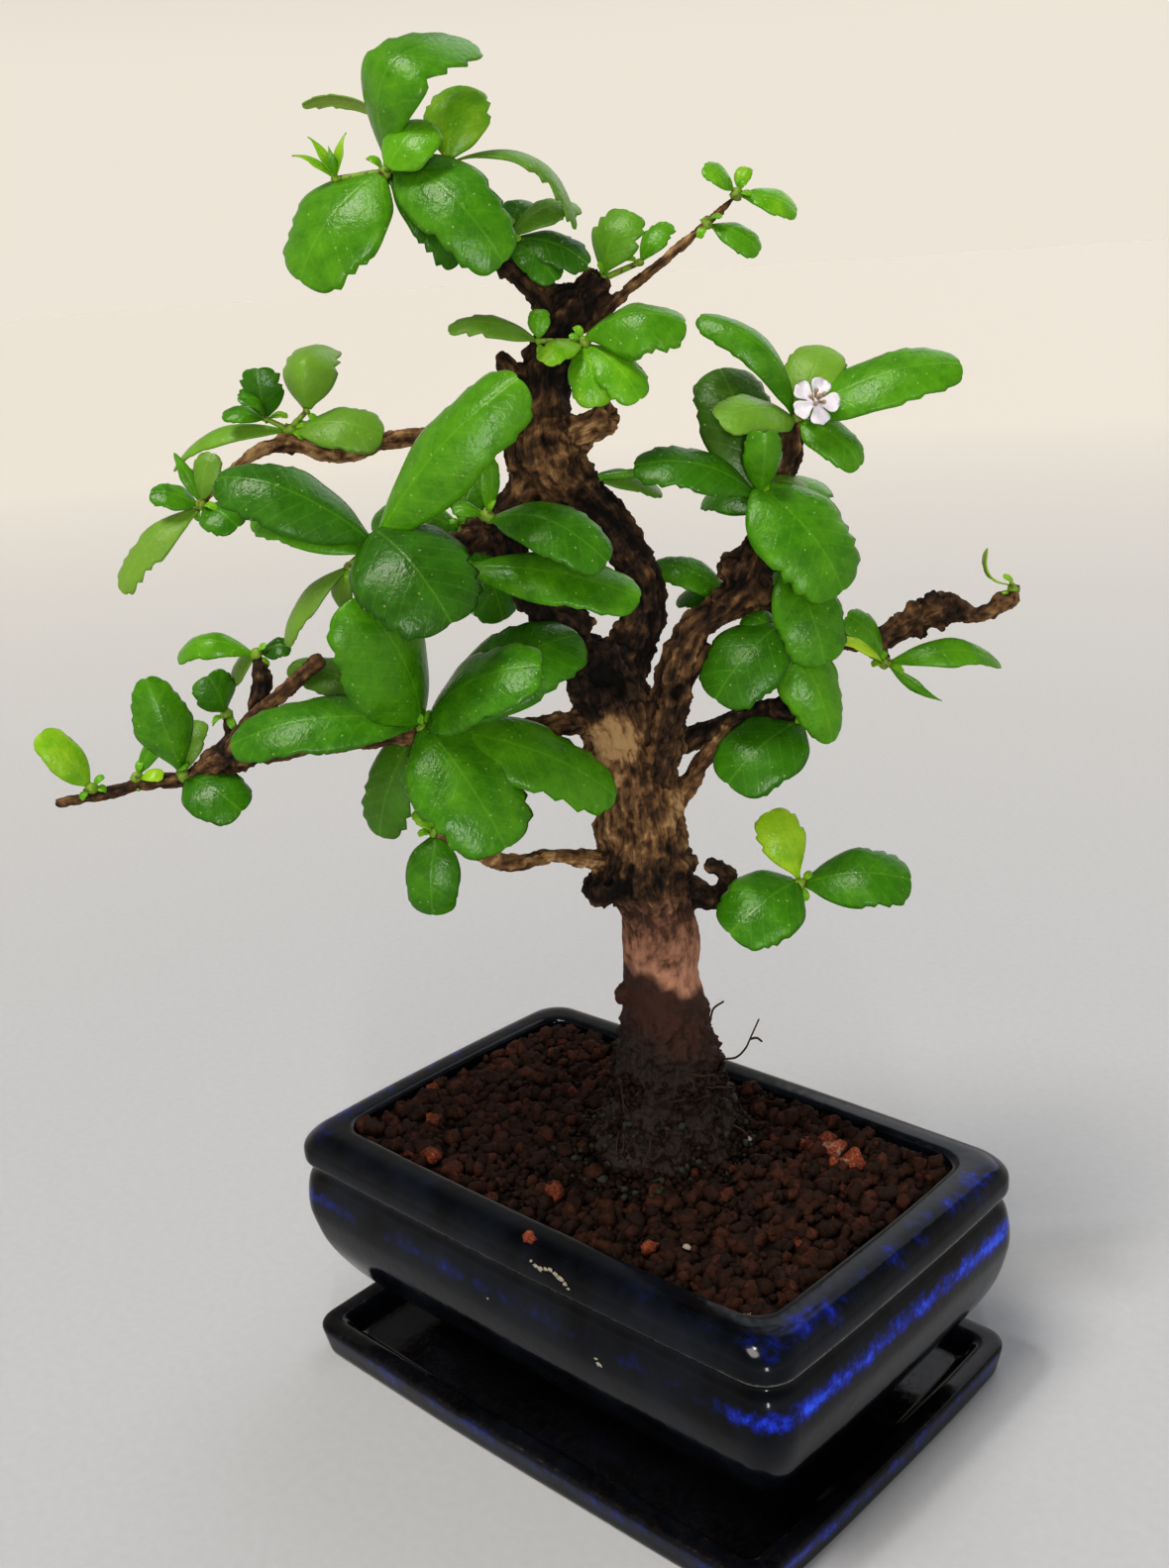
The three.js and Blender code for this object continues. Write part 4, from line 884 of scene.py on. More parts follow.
def buildTrunk(bark):
    form = barkForm
    heap = Heap()
    samples = growWood(heap)
    raw = heap.build("trunkRaw", [bark])
    skin = raw.modifiers.new("skin", "REMESH")
    skin.mode, skin.voxel_size, skin.use_smooth_shade = "VOXEL", form["voxelMm"] * mm, True
    mesh = modified(raw)
    bpy.data.objects.remove(raw)
    count = len(mesh.vertices)
    points, normals = np.empty(count * 3), np.empty(count * 3)
    mesh.vertices.foreach_get("co", points)
    mesh.vertices.foreach_get("normal", normals)
    points, normals = points.reshape(-1, 3) / mm, normals.reshape(-1, 3)
    tree = kdtree.KDTree(len(samples))
    for i, sample in enumerate(samples):
        tree.insert(Vector(sample[0]), i)
    tree.balance()
    light, smooth, wet = np.zeros(count), np.zeros(count), np.zeros(count)
    grainAt = np.zeros((count, 3))
    stem = [sample for sample in samples if sample[-2] in stoutLimbs]
    stemCentre, stemRadius = np.array([s[0] for s in stem]), np.array([s[1] for s in stem])
    for i in range(count):
        p = Vector(points[i])
        found = samples[tree.find(p)[1]]
        # The stem keeps its own skin where a limb starts inside it.
        stemGap = np.linalg.norm(stemCentre - points[i], axis=1) - stemRadius
        nearest = stemGap.argmin()
        if stemGap[nearest] < np.linalg.norm(points[i] - found[0]) - found[1]:
            found = stem[nearest]
        centre, radius, (across, up), way, run, lightness, name, limb = found
        out = points[i] - centre
        run = run + out @ way
        angle = math.atan2(out @ up, out @ across)
        z = points[i][2]
        # Furrows follow the limb: narrow round it and long along it.
        girth = max(radius, 1.5)
        ring = (math.cos(angle) * girth, math.sin(angle) * girth)
        grainAt[i] = (*ring, run / 5 + limb * 11)
        streak = wrappedNoise(ring, 1.5, run / 9 + limb * 7)
        lump = noise.fractal(p * 0.21, 0.9, 2.1, 3)
        scale = noise.fractal(p * 0.5, 0.8, 2.2, 2)
        crack = max(0.0, 1 - abs(wrappedNoise(ring, 2.4, run / 6 + limb * 3)) / 0.13)
        push = form["streak"] * streak + form["lump"] * lump + form["scale"] * scale - form["crack"] * crack
        push *= min(1.0, 0.2 + radius / 6)
        if name == "mainStem":
            ragged = z + 2.2 * streak + 1.8 * noise.noise(p * 0.5)
            fromFoot = np.clip((z - form["collarFoot"]) / 4, 0, 1)
            smooth[i] = np.clip((form["collarTop"] - ragged) / 7, 0, 1) * fromFoot
            push *= 1 - 0.75 * smooth[i]
            edge = z + 0.5 * (points[i][0] - 2) + 2.2 * noise.noise(p * 0.3)
            damp = np.clip((form["dampFrom"] - edge) / 2.5, 0, 1)
            wet[i] = 0.5 * damp + 0.5 * np.clip((form["soakedFrom"] - edge) / 10, 0, 1)
            if z > form["ringFrom"]:
                knot = math.exp(-(((z - form["ringAt"]) / 7) ** 2))
                lightness = 0.7 - 0.26 * knot - 0.3 * np.clip((z - form["darkFrom"]) / 12, 0, 1)
                push += 0.7 * knot * noise.noise(p * 0.28)
            if z < form["cakedFrom"]:
                caked = np.clip((form["cakedFrom"] - z) / 16, 0, 1)
                push += caked * (0.9 * noise.noise(p * 0.3) + 0.7 * noise.noise(p * 0.8))
        elif z < form["buriedBelow"]:
            wet[i] = 1.0
        for at, wide, deep, lip, dark in scars:
            off = np.linalg.norm(points[i] - at) / wide
            if off < 1.6:
                inside = max(0.0, 1 - off**2)
                push -= deep * inside
                push += lip * math.exp(-(((off - 1.1) / 0.2) ** 2))
                # The hollow is darkened as painted shade inside the scar.
                lightness -= dark * inside
        for at, reach, change in tints:
            off = np.linalg.norm(points[i] - at) / reach
            lightness += change * max(0.0, 1 - off**2)
        if smooth[i] > 0.5:
            lightness = np.clip(0.9 - 0.04 * (z - 102), 0.1, 0.9)
        # Lightness follows the relief: paler on raised lumps and scales, darker in the cracks. This is
        # partly the bark's own colour and partly painted light: painted shade in the cracks and a painted
        # highlight on the raised parts.
        light[i] = lightness + 0.15 * streak + 0.18 * lump + 0.28 * scale - 0.22 * crack
        points[i] += normals[i] * push
    mesh.vertices.foreach_set("co", inPart(points).ravel())
    markPoints(mesh, {"light": light, "smooth": smooth, "wet": wet})
    layer = mesh.attributes.new("grainAt", "FLOAT_VECTOR", "POINT")
    layer.data.foreach_set("vector", (grainAt * mm).ravel().astype(np.float32))
    mesh.shade_smooth()
    mesh.name = "trunkAndBranches"
    trunk = placeObject("trunkAndBranches", mesh)
    report(f"trunk has {triangles(mesh)} triangles")
    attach(trunk, "root")
    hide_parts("trunk")


# Fukien tea leaves, leathery and waxed. The eye gets a deep, clean green with sharp wet glints, a
# faint lighter middle vein, a few pale dots, and a duller yellow-green back.
leafLook = {
    "deep": "#1f4109",
    "green": "#366b0d",
    "fresh": "#5a9414",
    "young": "#a2c22c",
    "back": "#7b9440",
    "vein": "#86b23e",
    "dot": "#cfe09a",
    "dotMm": 2.3,
    "veinMm": 3.4,
    "mottleMm": 5.0,
    "skinMm": 1.1,
    "gloss": 0.24,
    "patchyGloss": 0.4,
    "backGloss": 0.5,
}


def waxedLeaf():
    look = leafLook
    noises = (look["mottleMm"], 4.0, 0.65), (look["skinMm"], 2.0, 0.5)
    material, add, (mottle, skin) = startMaterial("waxedLeaf", *noises)
    tone, back, veinRun, midWay = (
        add("mark", {"attribute_name": label}) for label in ("tone", "back", "veinRun", "midWay")
    )
    stops = stopsOf(look, deep=0.0, green=0.35, fresh=0.66, young=1.0)
    surface = add("ramp", stops, {"Fac": swayed(add, tone, (mottle, 0.5))})
    # Side veins: one every few millimetres, slanting out from the middle vein.
    wave = add("cosine", None, {0: add("times", {1: fullTurn / look["veinMm"]}, {0: veinRun})})
    sideVein = add("range", {1: 0.85, 2: 1.0, 4: 0.06}, {0: wave})
    midVein = add("range", {1: 0.4, 2: 0.1, 4: 0.13}, {0: midWay})
    veins = add("larger", None, {0: sideVein, 1: midVein})
    dots = add("cells", {"Scale": repeatEvery(look["dotMm"])}, {"Vector": add("place")})
    dotShare = add("range", {1: 0.13, 2: 0.05, 4: 0.25}, {0: dots})
    for shade, share in (("vein", veins), ("dot", dotShare), ("back", back)):
        surface = add("shade", {7: colour(look[shade])}, {0: share, 6: surface})
    patchy = add("range", {1: 0.35, 2: 0.7, 3: look["gloss"], 4: look["patchyGloss"]}, {0: mottle})
    gloss = add("share", {3: look["backGloss"]}, {0: back, 2: patchy})
    relief = add("timesAdd", {1: -1.5}, {0: veins, 2: skin})
    relief = add("add", None, {0: relief, 1: dotShare})
    bump = add("bump", {"Strength": 0.6, "Distance": 0.26 * mm}, {"Height": relief})
    settings = {"IOR": 1.45, "Specular IOR Level": 0.27}
    return finishMaterial(material, settings, {"Base Color": surface, "Roughness": gloss, "Normal": bump})


# Green shoots, stalks and bud lumps. The eye gets a soft yellow-green, blotched red-brown.
budLook = {"green": "#6f8f1f", "brown": "#4a3216", "grainMm": 1.2}


def softShoot():
    look = budLook
    material, add, (grain,) = startMaterial("softShoot", (look["grainMm"], 3.0, 0.5))
    surface = add("ramp", stopsOf(look, brown=0.3, green=0.5), {"Fac": grain})
    bump = add("bump", {"Strength": 0.6, "Distance": 0.3 * mm}, {"Height": grain})
    return finishMaterial(material, {"Roughness": 0.55}, {"Base Color": surface, "Normal": bump})


bladeForm = {
    "spoon": [[0, 0.1], [0.1, 0.18], [0.33, 0.68], [0.52, 0.94], [0.68, 1], [0.8, 0.97]],
    "full": [[0, 0.16], [0.07, 0.42], [0.2, 0.8], [0.4, 0.99], [0.6, 1], [0.8, 0.9]],
    "tipFrom": 0.78,
    "youngLength": 18.0,
    "stations": 34,
    "across": [-1, -0.88, -0.66, -0.4, -0.14, 0, 0.14, 0.4, 0.66, 0.88, 1],
    "thick": 0.36,
    "edgeDrop": 0.22,
    "toothDepth": 0.1,
    "toothFrom": 0.55,
    "grownTeeth": 3.6,
    "youngTeeth": 2.4,
    "curl": 0.08,
    "wave": 0.05,
    "groove": 0.12,
    "budRadius": 2.0,
    "sideStem": 0.7,
    "stalkFrom": 1.0,
    "stalkRadius": 0.6,
    "scale": ((0, 360), (-20, 50), (3, 4.6)),
}
# What a leaf may have of its own: its arch as a share of its length, its roll, how full its base is, a
# fold along the middle, a hooked tip, a sideways bend, a twist, how strong its teeth are, a pointed
# tip, how far its back's colour shows, and a shift in u, v and z.
plainLeaf = {
    "arch": 0.12, "roll": 0, "full": 0.5, "fold": 0.0, "hook": 0.0, "bend": 0.0, "twist": 0.0,
    "teeth": 1.0, "point": 0.0, "under": 0.0, "shift": (0, 0, 0),
}
towardsLight = np.array([0, -0.62, 0.78])


# A leaf by its clock in the u-z plane, its lean to -v, its length and width, its tone from 0, deep, to 1,
# young, and what it has of its own. The tone is partly the leaf's own colour and partly painted shade:
# leaves that sit in shade inside the spray are given deeper tones.
def leaf(clock, lean, length, width, tone, **own):
    return clock, lean, length, width, tone, {**plainLeaf, **own}


# Sprays in the tree's frame: each knot has its place and its leaves.
sprays = {
    "apex_left": [((-42, -12, 281.5), [
        leaf(52, 2, 27.5, 18, 0.44, arch=0.45, teeth=2.2, point=0.15, hook=0.05, shift=(-0.4, 4, 1)),
        leaf(44, -12, 12.5, 12, 0.6, arch=0.1, full=1, shift=(0.4, -8, -0.5), teeth=0.6),
        leaf(318, 28, 31, 16, 0.36, arch=0.14, roll=12, full=1, bend=-0.06, shift=(2, 0, 2.5), teeth=1.4),
        leaf(307, -2, 21, 11, 0.25, teeth=2.5),
        leaf(226, 12, 26, 21.5, 0.54, arch=0.1, full=1, shift=(-0.5, 0, 0.8), teeth=1.3),
    ]), ((-41, -6, 291), [
        leaf(164, -10, 17, 4.2, 0.5, arch=0.15, roll=70, teeth=3, under=0.4),
    ]), ((-30, -9, 283), [
        leaf(75, -20, 15, 13.5, 0.68, arch=0.1, full=0.6, under=0.15, teeth=1.6),
        leaf(334, -4, 27, 9.5, 0.42, arch=0.25, roll=-30, teeth=4.5, twist=25, under=0.3),
    ]), ((-52, -10, 281), [
        leaf(118, 0, 9, 2.2, 0.76, point=1), leaf(146, 5, 9, 2.2, 0.76, point=1),
        leaf(72, 0, 8.5, 2, 0.76, point=1), leaf(95, 20, 6, 2, 0.6, point=1),
    ])],
    "apex_middle": [((-20, -4, 268), [
        leaf(22, -15, 16, 8, 0.35, arch=0.15, under=0.3, teeth=2), leaf(341, 15, 17, 10, 0.22, teeth=2),
        leaf(318, 30, 14, 8, 0.3), leaf(60, -40, 11, 8, 0.3),
    ])],
    "top_twig_tip": [((27.6, 6, 273.6), [
        leaf(343, 0, 12.5, 8, 0.62), leaf(137, 10, 8.5, 6, 0.6), leaf(66, -20, 6, 3.5, 0.7),
    ])],
    "top_twig": [((21, 5.4, 268.4), [leaf(330, 10, 12, 7.5, 0.56)])],
    "top_right": [((-1.4, 2.4, 258.8), [
        leaf(64, 0, 14, 11.5, 0.46, arch=0.15, teeth=2.4, under=0.2, full=0.2),
    ]), ((7, 6, 261.6), [
        leaf(49, -15, 10, 6, 0.5, teeth=2.5),
    ])],
    "upper_middle": [((-6, -11.4, 247.2), [
        leaf(8, 10, 20.5, 19, 0.44, arch=0.16, fold=0.25, full=0.3, teeth=1.6, point=0.3, bend=-0.06,
            shift=(-0.6, 0, 1)),
        leaf(313, 28, 16.5, 10, 0.64, teeth=1.6), leaf(277, 36, 14, 9, 0.64, full=0.7),
        leaf(322, -16, 16, 5, 0.4, arch=0.1, roll=40, under=0.5), leaf(196, 46, 12, 6.5, 0.72),
    ]), ((-15, -11, 248), [
        leaf(165, 4, 17.5, 7, 0.5, teeth=3.5, under=0.4, hook=0.04), leaf(84, -10, 6, 4.5, 0.6),
    ])],
    "left_front": [((-50, -26, 212.4), [
        leaf(45, 8, 42, 18, 0.52, arch=0.1, roll=12, full=0.6, fold=0.25),
        leaf(151, 0, 32, 18, 0.3, fold=0.12, point=0.2, teeth=1.4),
        leaf(312, 34, 26, 24, 0.22, full=1, shift=(0, -1.5, 3.5), teeth=1.6),
        leaf(157, -18, 27, 13, 0.56, arch=0.1, shift=(0, 0, -2.5)),
    ]), ((-56, -25, 208), [
        leaf(224, 0, 20, 8.5, 0.42, roll=20, under=0.5), leaf(252, -22, 11, 6.5, 0.4, under=0.6),
    ])],
    "left_middle": [((-28, -14.4, 214.4), [
        leaf(340, 26, 27, 14, 0.36, arch=0.2), leaf(83, 0, 11.5, 4.5, 0.55, arch=0.1, roll=40),
        leaf(160, 10, 7, 4, 0.5),
    ])],
    "left_middle_low": [((-35, -15.4, 204.6), [
        leaf(349, 10, 37, 14.5, 0.46, arch=0.08), leaf(285, 20, 10, 1.8, 0.6, point=1),
    ])],
    "rosette": [((-44.6, -22.6, 173), [
        leaf(180, 8, 38, 14.5, 0.4, full=0.8, shift=(0, 0, 1.4)),
        leaf(32, 25, 31, 18, 0.42, arch=0.14, full=0.8),
        leaf(28, -12, 35, 20, 0.34, full=0.7, shift=(2, 0, 0)),
        leaf(304, 27, 31, 23, 0.38, arch=0.1, full=0.9, teeth=1.6, shift=(0, 0, 1.5)),
        leaf(336, -2, 42, 17, 0.5, full=0.7, teeth=1.8),
        leaf(244, 10, 26, 12.5, 0.3, full=0.8, under=0.12, teeth=2, shift=(-0.8, 7, 0)),
        leaf(105, 22, 33, 25, 0.4, roll=10, full=0.8, fold=0.2), leaf(156, -25, 33, 10, 0.12, under=0.2),
        leaf(128, -30, 29, 7, 0.35),
    ])],
    "low_left": [((-44.4, -20.4, 149.4), [
        leaf(263, 12, 17.5, 11.5, 0.4, full=1, teeth=0.5), leaf(128, -10, 6, 4, 0.7),
    ])],
    "left_tip": [((-119, -8.6, 160.8), [leaf(121, 6, 15.5, 8, 0.76, arch=0.1, full=0.8, teeth=0.5)])],
    "left_branch_outer": [((-109, -8, 162.4), [leaf(52, -20, 12, 5, 0.4), leaf(6, 15, 6, 3.4, 0.8)])],
    "left_branch": [((-98.6, -9.4, 162.6), [
        leaf(99, 12, 22.5, 15, 0.46, full=0.1, point=0.45, fold=0.2),
        leaf(334, 28, 16, 13, 0.34, full=1, teeth=0.5), leaf(70, -22, 12, 6, 0.4, under=0.4),
    ])],
    "left_up": [((-80, -6, 187.4), [
        leaf(176, -6, 17, 8, 0.58, arch=0.25, fold=0.2), leaf(12, 10, 7.5, 6, 0.15),
        leaf(222, -28, 12, 8, 0.4, under=0.5),
    ])],
    "left_up_low": [((-88.4, -5.4, 174.4), [leaf(99, 28, 11, 9.5, 0.34)])],
    "left_upper": [((-70, 10, 232.4), [
        leaf(356, 12, 20, 12, 0.5, under=0.35, twist=20),
        leaf(192, -14, 29, 6.5, 0.56, arch=0.14, under=0.35, twist=35),
    ]), ((-66, 10, 236), [
        leaf(80, -15, 15, 15, 0.6, arch=0.32, hook=0.3, fold=0.45, under=0.45, teeth=2),
    ]), ((-74.5, 9.4, 235), [
        leaf(89, 20, 11, 9.5, 0.3, teeth=2.5), leaf(168, 5, 9, 5.5, 0.45),
        leaf(128, 34, 8, 5, 0.35, arch=0.3),
    ])],
    "left_upper_tip": [((-90.6, 8, 218), [
        leaf(72, 0, 11, 7, 0.4, under=0.4), leaf(160, 10, 10.5, 7, 0.42, full=1),
        leaf(220, 8, 25, 9.5, 0.5, under=0.55, teeth=3), leaf(332, 30, 10.5, 9.5, 0.36, full=1),
        leaf(112, -6, 12, 3.4, 0.5, point=0.8),
    ])],
    "flower": [((37.2, -4.2, 228.8), [
        leaf(131, 2, 28, 10, 0.42, arch=0.24, fold=0.25), leaf(62, -26, 17, 13, 0.62, under=0.5, full=0.8),
        leaf(16, 4, 33.5, 14.8, 0.45, arch=0.08, full=0.9, shift=(0, 0, 0.6)),
        leaf(172, 34, 20, 12.5, 0.5, under=0.4, full=0.8), leaf(322, 20, 16, 10, 0.45, full=1),
        leaf(250, -35, 15, 10, 0.35),
    ])],
    "right_middle": [((28, -12.4, 214.4), [
        leaf(103, -26, 28, 17, 0.12, full=0.7, under=0.12),
        leaf(161, 6, 26, 13, 0.26, arch=0.16, teeth=1.8),
        leaf(88, 34, 15, 9, 0.45, arch=0.1, roll=20, fold=0.3),
        leaf(308, 20, 28, 20.8, 0.44, full=1, shift=(-1.2, 0, 3), teeth=1.6),
        leaf(10, -26, 11, 7, 0.3, under=0.4),
    ])],
    "right_low": [((32, -8.4, 184), [
        leaf(291, 14, 27, 16, 0.5, point=0.5, shift=(0, 0, 2.8), fold=0.15),
        leaf(222, 18, 21, 17.5, 0.28, full=1, shift=(0, 0, 2.8)), leaf(150, -24, 9, 7, 0.4),
        leaf(330, -30, 15, 10, 0.4),
    ]), ((33.2, -10, 197), [
        leaf(288, 24, 22, 15, 0.46, full=0.7, shift=(0, 0, 2.8)),
    ])],
    "right_lower": [((35.4, -6.4, 162.4), [
        leaf(209, 26, 22, 18, 0.3, full=1, shift=(1, 0, 2.4), teeth=0.6),
    ])],
    "behind_fork": [((24, 5.8, 188), [leaf(150, -8, 20, 9, 0.4, arch=0.2), leaf(172, -30, 14, 7, 0.3)])],
    "far_right": [((58, 12, 171.2), [
        leaf(124, 14, 15, 9, 0.45), leaf(356, -4, 27, 8, 0.55, arch=0.2, roll=10, point=0.6, hook=0.04),
        leaf(322, 4, 15.5, 3, 0.5, arch=0.1, roll=60, point=1), leaf(146, 30, 17, 5, 0.95, point=0.6),
    ])],
    "far_right_tip": [((88.6, 18, 185), [leaf(118, 0, 11, 3.2, 0.9, arch=-0.28, roll=60)])],
    "trio": [((34.4, -8.4, 127.2), [
        leaf(109, -8, 17, 11, 0.84, full=0, teeth=1.6),
        leaf(206, 24, 20, 18.5, 0.34, arch=0.1, full=1, shift=(0, 0, 1.2)),
        leaf(4, 12, 23.5, 15.5, 0.38, full=0.6, teeth=1.4),
    ])],
    "trunk_right": [((-7.2, 3.2, 218.6), [
        leaf(2, -4, 16, 1.8, 0.5, arch=0.06, roll=60, full=1, teeth=0),
        leaf(344, -22, 18, 7, 0.4, under=0.3),
    ])],
    "back_left": [((-35.4, 21.4, 207), [
        leaf(170, -20, 22, 12, 0.35), leaf(75, -35, 18, 12, 0.4), leaf(230, -30, 21, 12, 0.35),
        leaf(290, 5, 22, 13, 0.35), leaf(350, -42, 22, 12, 0.45),
    ])],
    "back_right": [((33.2, 18.6, 205.6), [
        leaf(95, -25, 18, 12, 0.35), leaf(20, -40, 20, 12, 0.45), leaf(280, -25, 21, 13, 0.35),
        leaf(160, -45, 18, 11, 0.35),
    ])],
}


def turned(vector, axis, degrees):
    return np.array(Matrix.Rotation(math.radians(degrees), 3, Vector(axis)) @ Vector(vector))


# Stalks, stems and bud lumps carry the leaves' marks with plain values.
def addPlain(heap, points, faces):
    heap.add(inPart(points), faces, 1, tone=0.5, back=0, veinRun=0, midWay=9)


# How wide the blade is at each share of its length, from its base to its rounded or pointed tip.
def bladeWidth(share, own):
    form = bladeForm
    spoon, full = smoothLine(form["spoon"], 8), smoothLine(form["full"], 8)
    half = (1 - own["full"]) * np.interp(share, spoon[:, 0], spoon[:, 1])
    half = half + own["full"] * np.interp(share, full[:, 0], full[:, 1])
    inTip = np.clip((share - form["tipFrom"]) / (1 - form["tipFrom"]), 0, 1)
    rounded = np.sqrt(1 - inTip**2 * 0.995) ** 0.85
    pointed = np.minimum(1, 1.9 * (1 - share))
    half = half * (rounded + own["point"] * (np.minimum(pointed, rounded) - rounded))
    return np.maximum(half, 0.04)


def addLeaf(heap, knot, depth, blade, draws):
    form = bladeForm
    clock, lean, length, width, tone, own = blade
    turn, tilt = math.radians(clock), math.radians(lean)
    along = np.array([math.cos(turn) * math.cos(tilt), -math.sin(tilt), math.sin(turn) * math.cos(tilt)])
    face = towardsLight - along * towardsLight.dot(along)
    face /= np.linalg.norm(face)
    face = turned(face, along, own["roll"])
    side = np.cross(face, along)
    start = np.asarray(knot, float) + own["shift"] + along * depth
    if np.linalg.norm(own["shift"]) > form["stalkFrom"]:
        # A leaf set off from its bud hangs on a stalk of its own.
        radius = form["stalkRadius"]
        stalk = [[*knot, radius], [*(start + along * 1.5), radius * 0.8]]
        addPlain(heap, *limbRings(stalk, 4, 8)[:2])
    reachOut = length * 1.03 - depth
    # Stations lie closer together towards the rounded, toothed tip.
    share = np.sin(np.linspace(0, math.pi / 2, form["stations"])) ** 1.15
    half = bladeWidth(share, own) * width / 2
    s, t = np.meshgrid(share, np.array(form["across"]), indexing="ij")
    # Small forward teeth from the middle on, set differently along each edge.
    teeth = form["grownTeeth" if length >= form["youngLength"] else "youngTeeth"]
    teeth = teeth * (s - form["toothFrom"]) / (1 - form["toothFrom"])
    notch = (teeth + np.where(t > 0, draws.uniform(0, 1), draws.uniform(0, 1))) % 1.0
    cut = form["toothDepth"] * own["teeth"] * (1 - notch) * np.clip(teeth * 3, 0, 1)
    h = half[:, None] * (1 - cut * np.clip((np.abs(t) - 0.5) / 0.5, 0, 1))
    phase, waves = draws.uniform(0, fullTurn), draws.uniform(1.6, 2.6)
    twist = math.radians(draws.uniform(-9, 9) + own["twist"]) * (s - 0.3)
    tipCurl = draws.uniform(0.02, 0.07) + own["hook"]
    # The blade arches, its tip curls down, its edges droop and wave, and its middle vein is sunken.
    rise = own["arch"] * length * (1 - (2 * s - 1) ** 2)
    rise = rise - tipCurl * length * np.clip((s - 0.55) / 0.45, 0, 1) ** 2
    drop = (form["edgeDrop"] + own["fold"]) * h * np.abs(t) ** 1.4
    curl = form["curl"] * h * np.clip((np.abs(t) - 0.75) / 0.25, 0, 1) ** 2
    wave = form["wave"] * h * np.sin(fullTurn * waves * s + phase + t) * t**2
    groove = form["groove"] * np.exp(-((t * h / 0.5) ** 2))[..., None]
    sideways = t * h * np.cos(twist) * (1 - 0.4 * max(0, own["fold"])) + own["bend"] * length * s**2
    upward = rise - drop - curl + wave + t * h * np.sin(twist)
    middle = start + (s * reachOut)[..., None] * along + sideways[..., None] * side
    middle = middle + upward[..., None] * face
    normal = np.cross(np.gradient(middle, axis=1), np.gradient(middle, axis=0))
    normal /= np.linalg.norm(normal, axis=2, keepdims=True) + 1e-9
    if (normal[..., :] @ face).mean() < 0:
        normal = -normal
    thick = form["thick"] / 2
    upper = middle + normal * (thick - groove)
    lower = middle - normal * (thick + 0.6 * groove)
    heap.add(
        inPart(np.vstack([upper.reshape(-1, 3), lower.reshape(-1, 3)])),
        sheetFaces(*t.shape),
        tone=tone + draws.uniform(-0.05, 0.05),
        back=np.repeat([own["under"], 1.0], t.size),
        veinRun=np.tile((s * reachOut - 0.75 * np.abs(t) * h).ravel(), 2),
        midWay=np.tile((np.abs(t) * h).ravel(), 2),
    )


def buildSprays(leafGreen, shoot):
    form = bladeForm
    for n, (name, knots) in enumerate(sprays.items()):
        draws = np.random.default_rng(100 + n)
        heap = Heap()
        for i, (at, leaves) in enumerate(knots):
            radius = form["budRadius"] if i == 0 else form["sideStem"] * 1.6
            addPlain(heap, *lumpyBall(at, (radius * 0.72,) * 3, n + i * 9.3, 0.5, 2))
            if i > 0:
                stem = [[*knots[0][0], form["sideStem"]], [*at, form["sideStem"] * 0.8]]
                addPlain(heap, *limbRings(stem, 6, 8)[:2])
            for blade in leaves:
                addLeaf(heap, at, radius * 0.6, blade, draws)
            # Bud scales: a few tiny blades in the axils.
            for _ in range(3 if i == 0 else 1):
                clock, lean, length = (draws.uniform(*span) for span in form["scale"])
                addLeaf(heap, at, radius * 0.5, leaf(clock, lean, length, 1.8, 0.7, arch=0.2), draws)
        if name == "flower":
            addPlain(heap, *limbRings(flowerForm["stalk"], 6, 10)[:2])
        piece = heap.build("leaves." + name, [leafGreen, shoot])
        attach(piece, "root")
        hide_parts("leaves_" + name)


# The open flower: five petals on a short tube, five stamens and a style.
flowerForm = {
    "at": (40, -11, 232.4),
    "face": (0.15, -0.9, 0.4),
    "radius": 4.9,
    "petalWide": 4.1,
    "petals": 5,
    "outline": [[0, 0.3], [0.3, 0.5], [0.6, 0.95], [0.8, 1], [0.95, 0.7], [1, 0.35]],
    "tube": [[0, 0, -0.8, 0.9], [0, 0, 0.2, 1.1], [0, 0, 0.7, 0.7]],
    "stalk": [[37.2, -4.2, 228.8, 0.8], [38.8, -7, 230, 0.6], [39.7, -9.5, 231.7, 0.9]],
    "anther": (0.45, 0.45, 0.6),
}
petalLook = {"white": "#d9d4dc", "anther": "#a08a70"}


def flowerPlace(points):
    aim = Vector((0, 0, 1)).rotation_difference(Vector(flowerForm["face"]).normalized())
    spin = np.array(aim.to_matrix())
    return inPart(np.asarray(points) @ spin.T + flowerForm["at"])


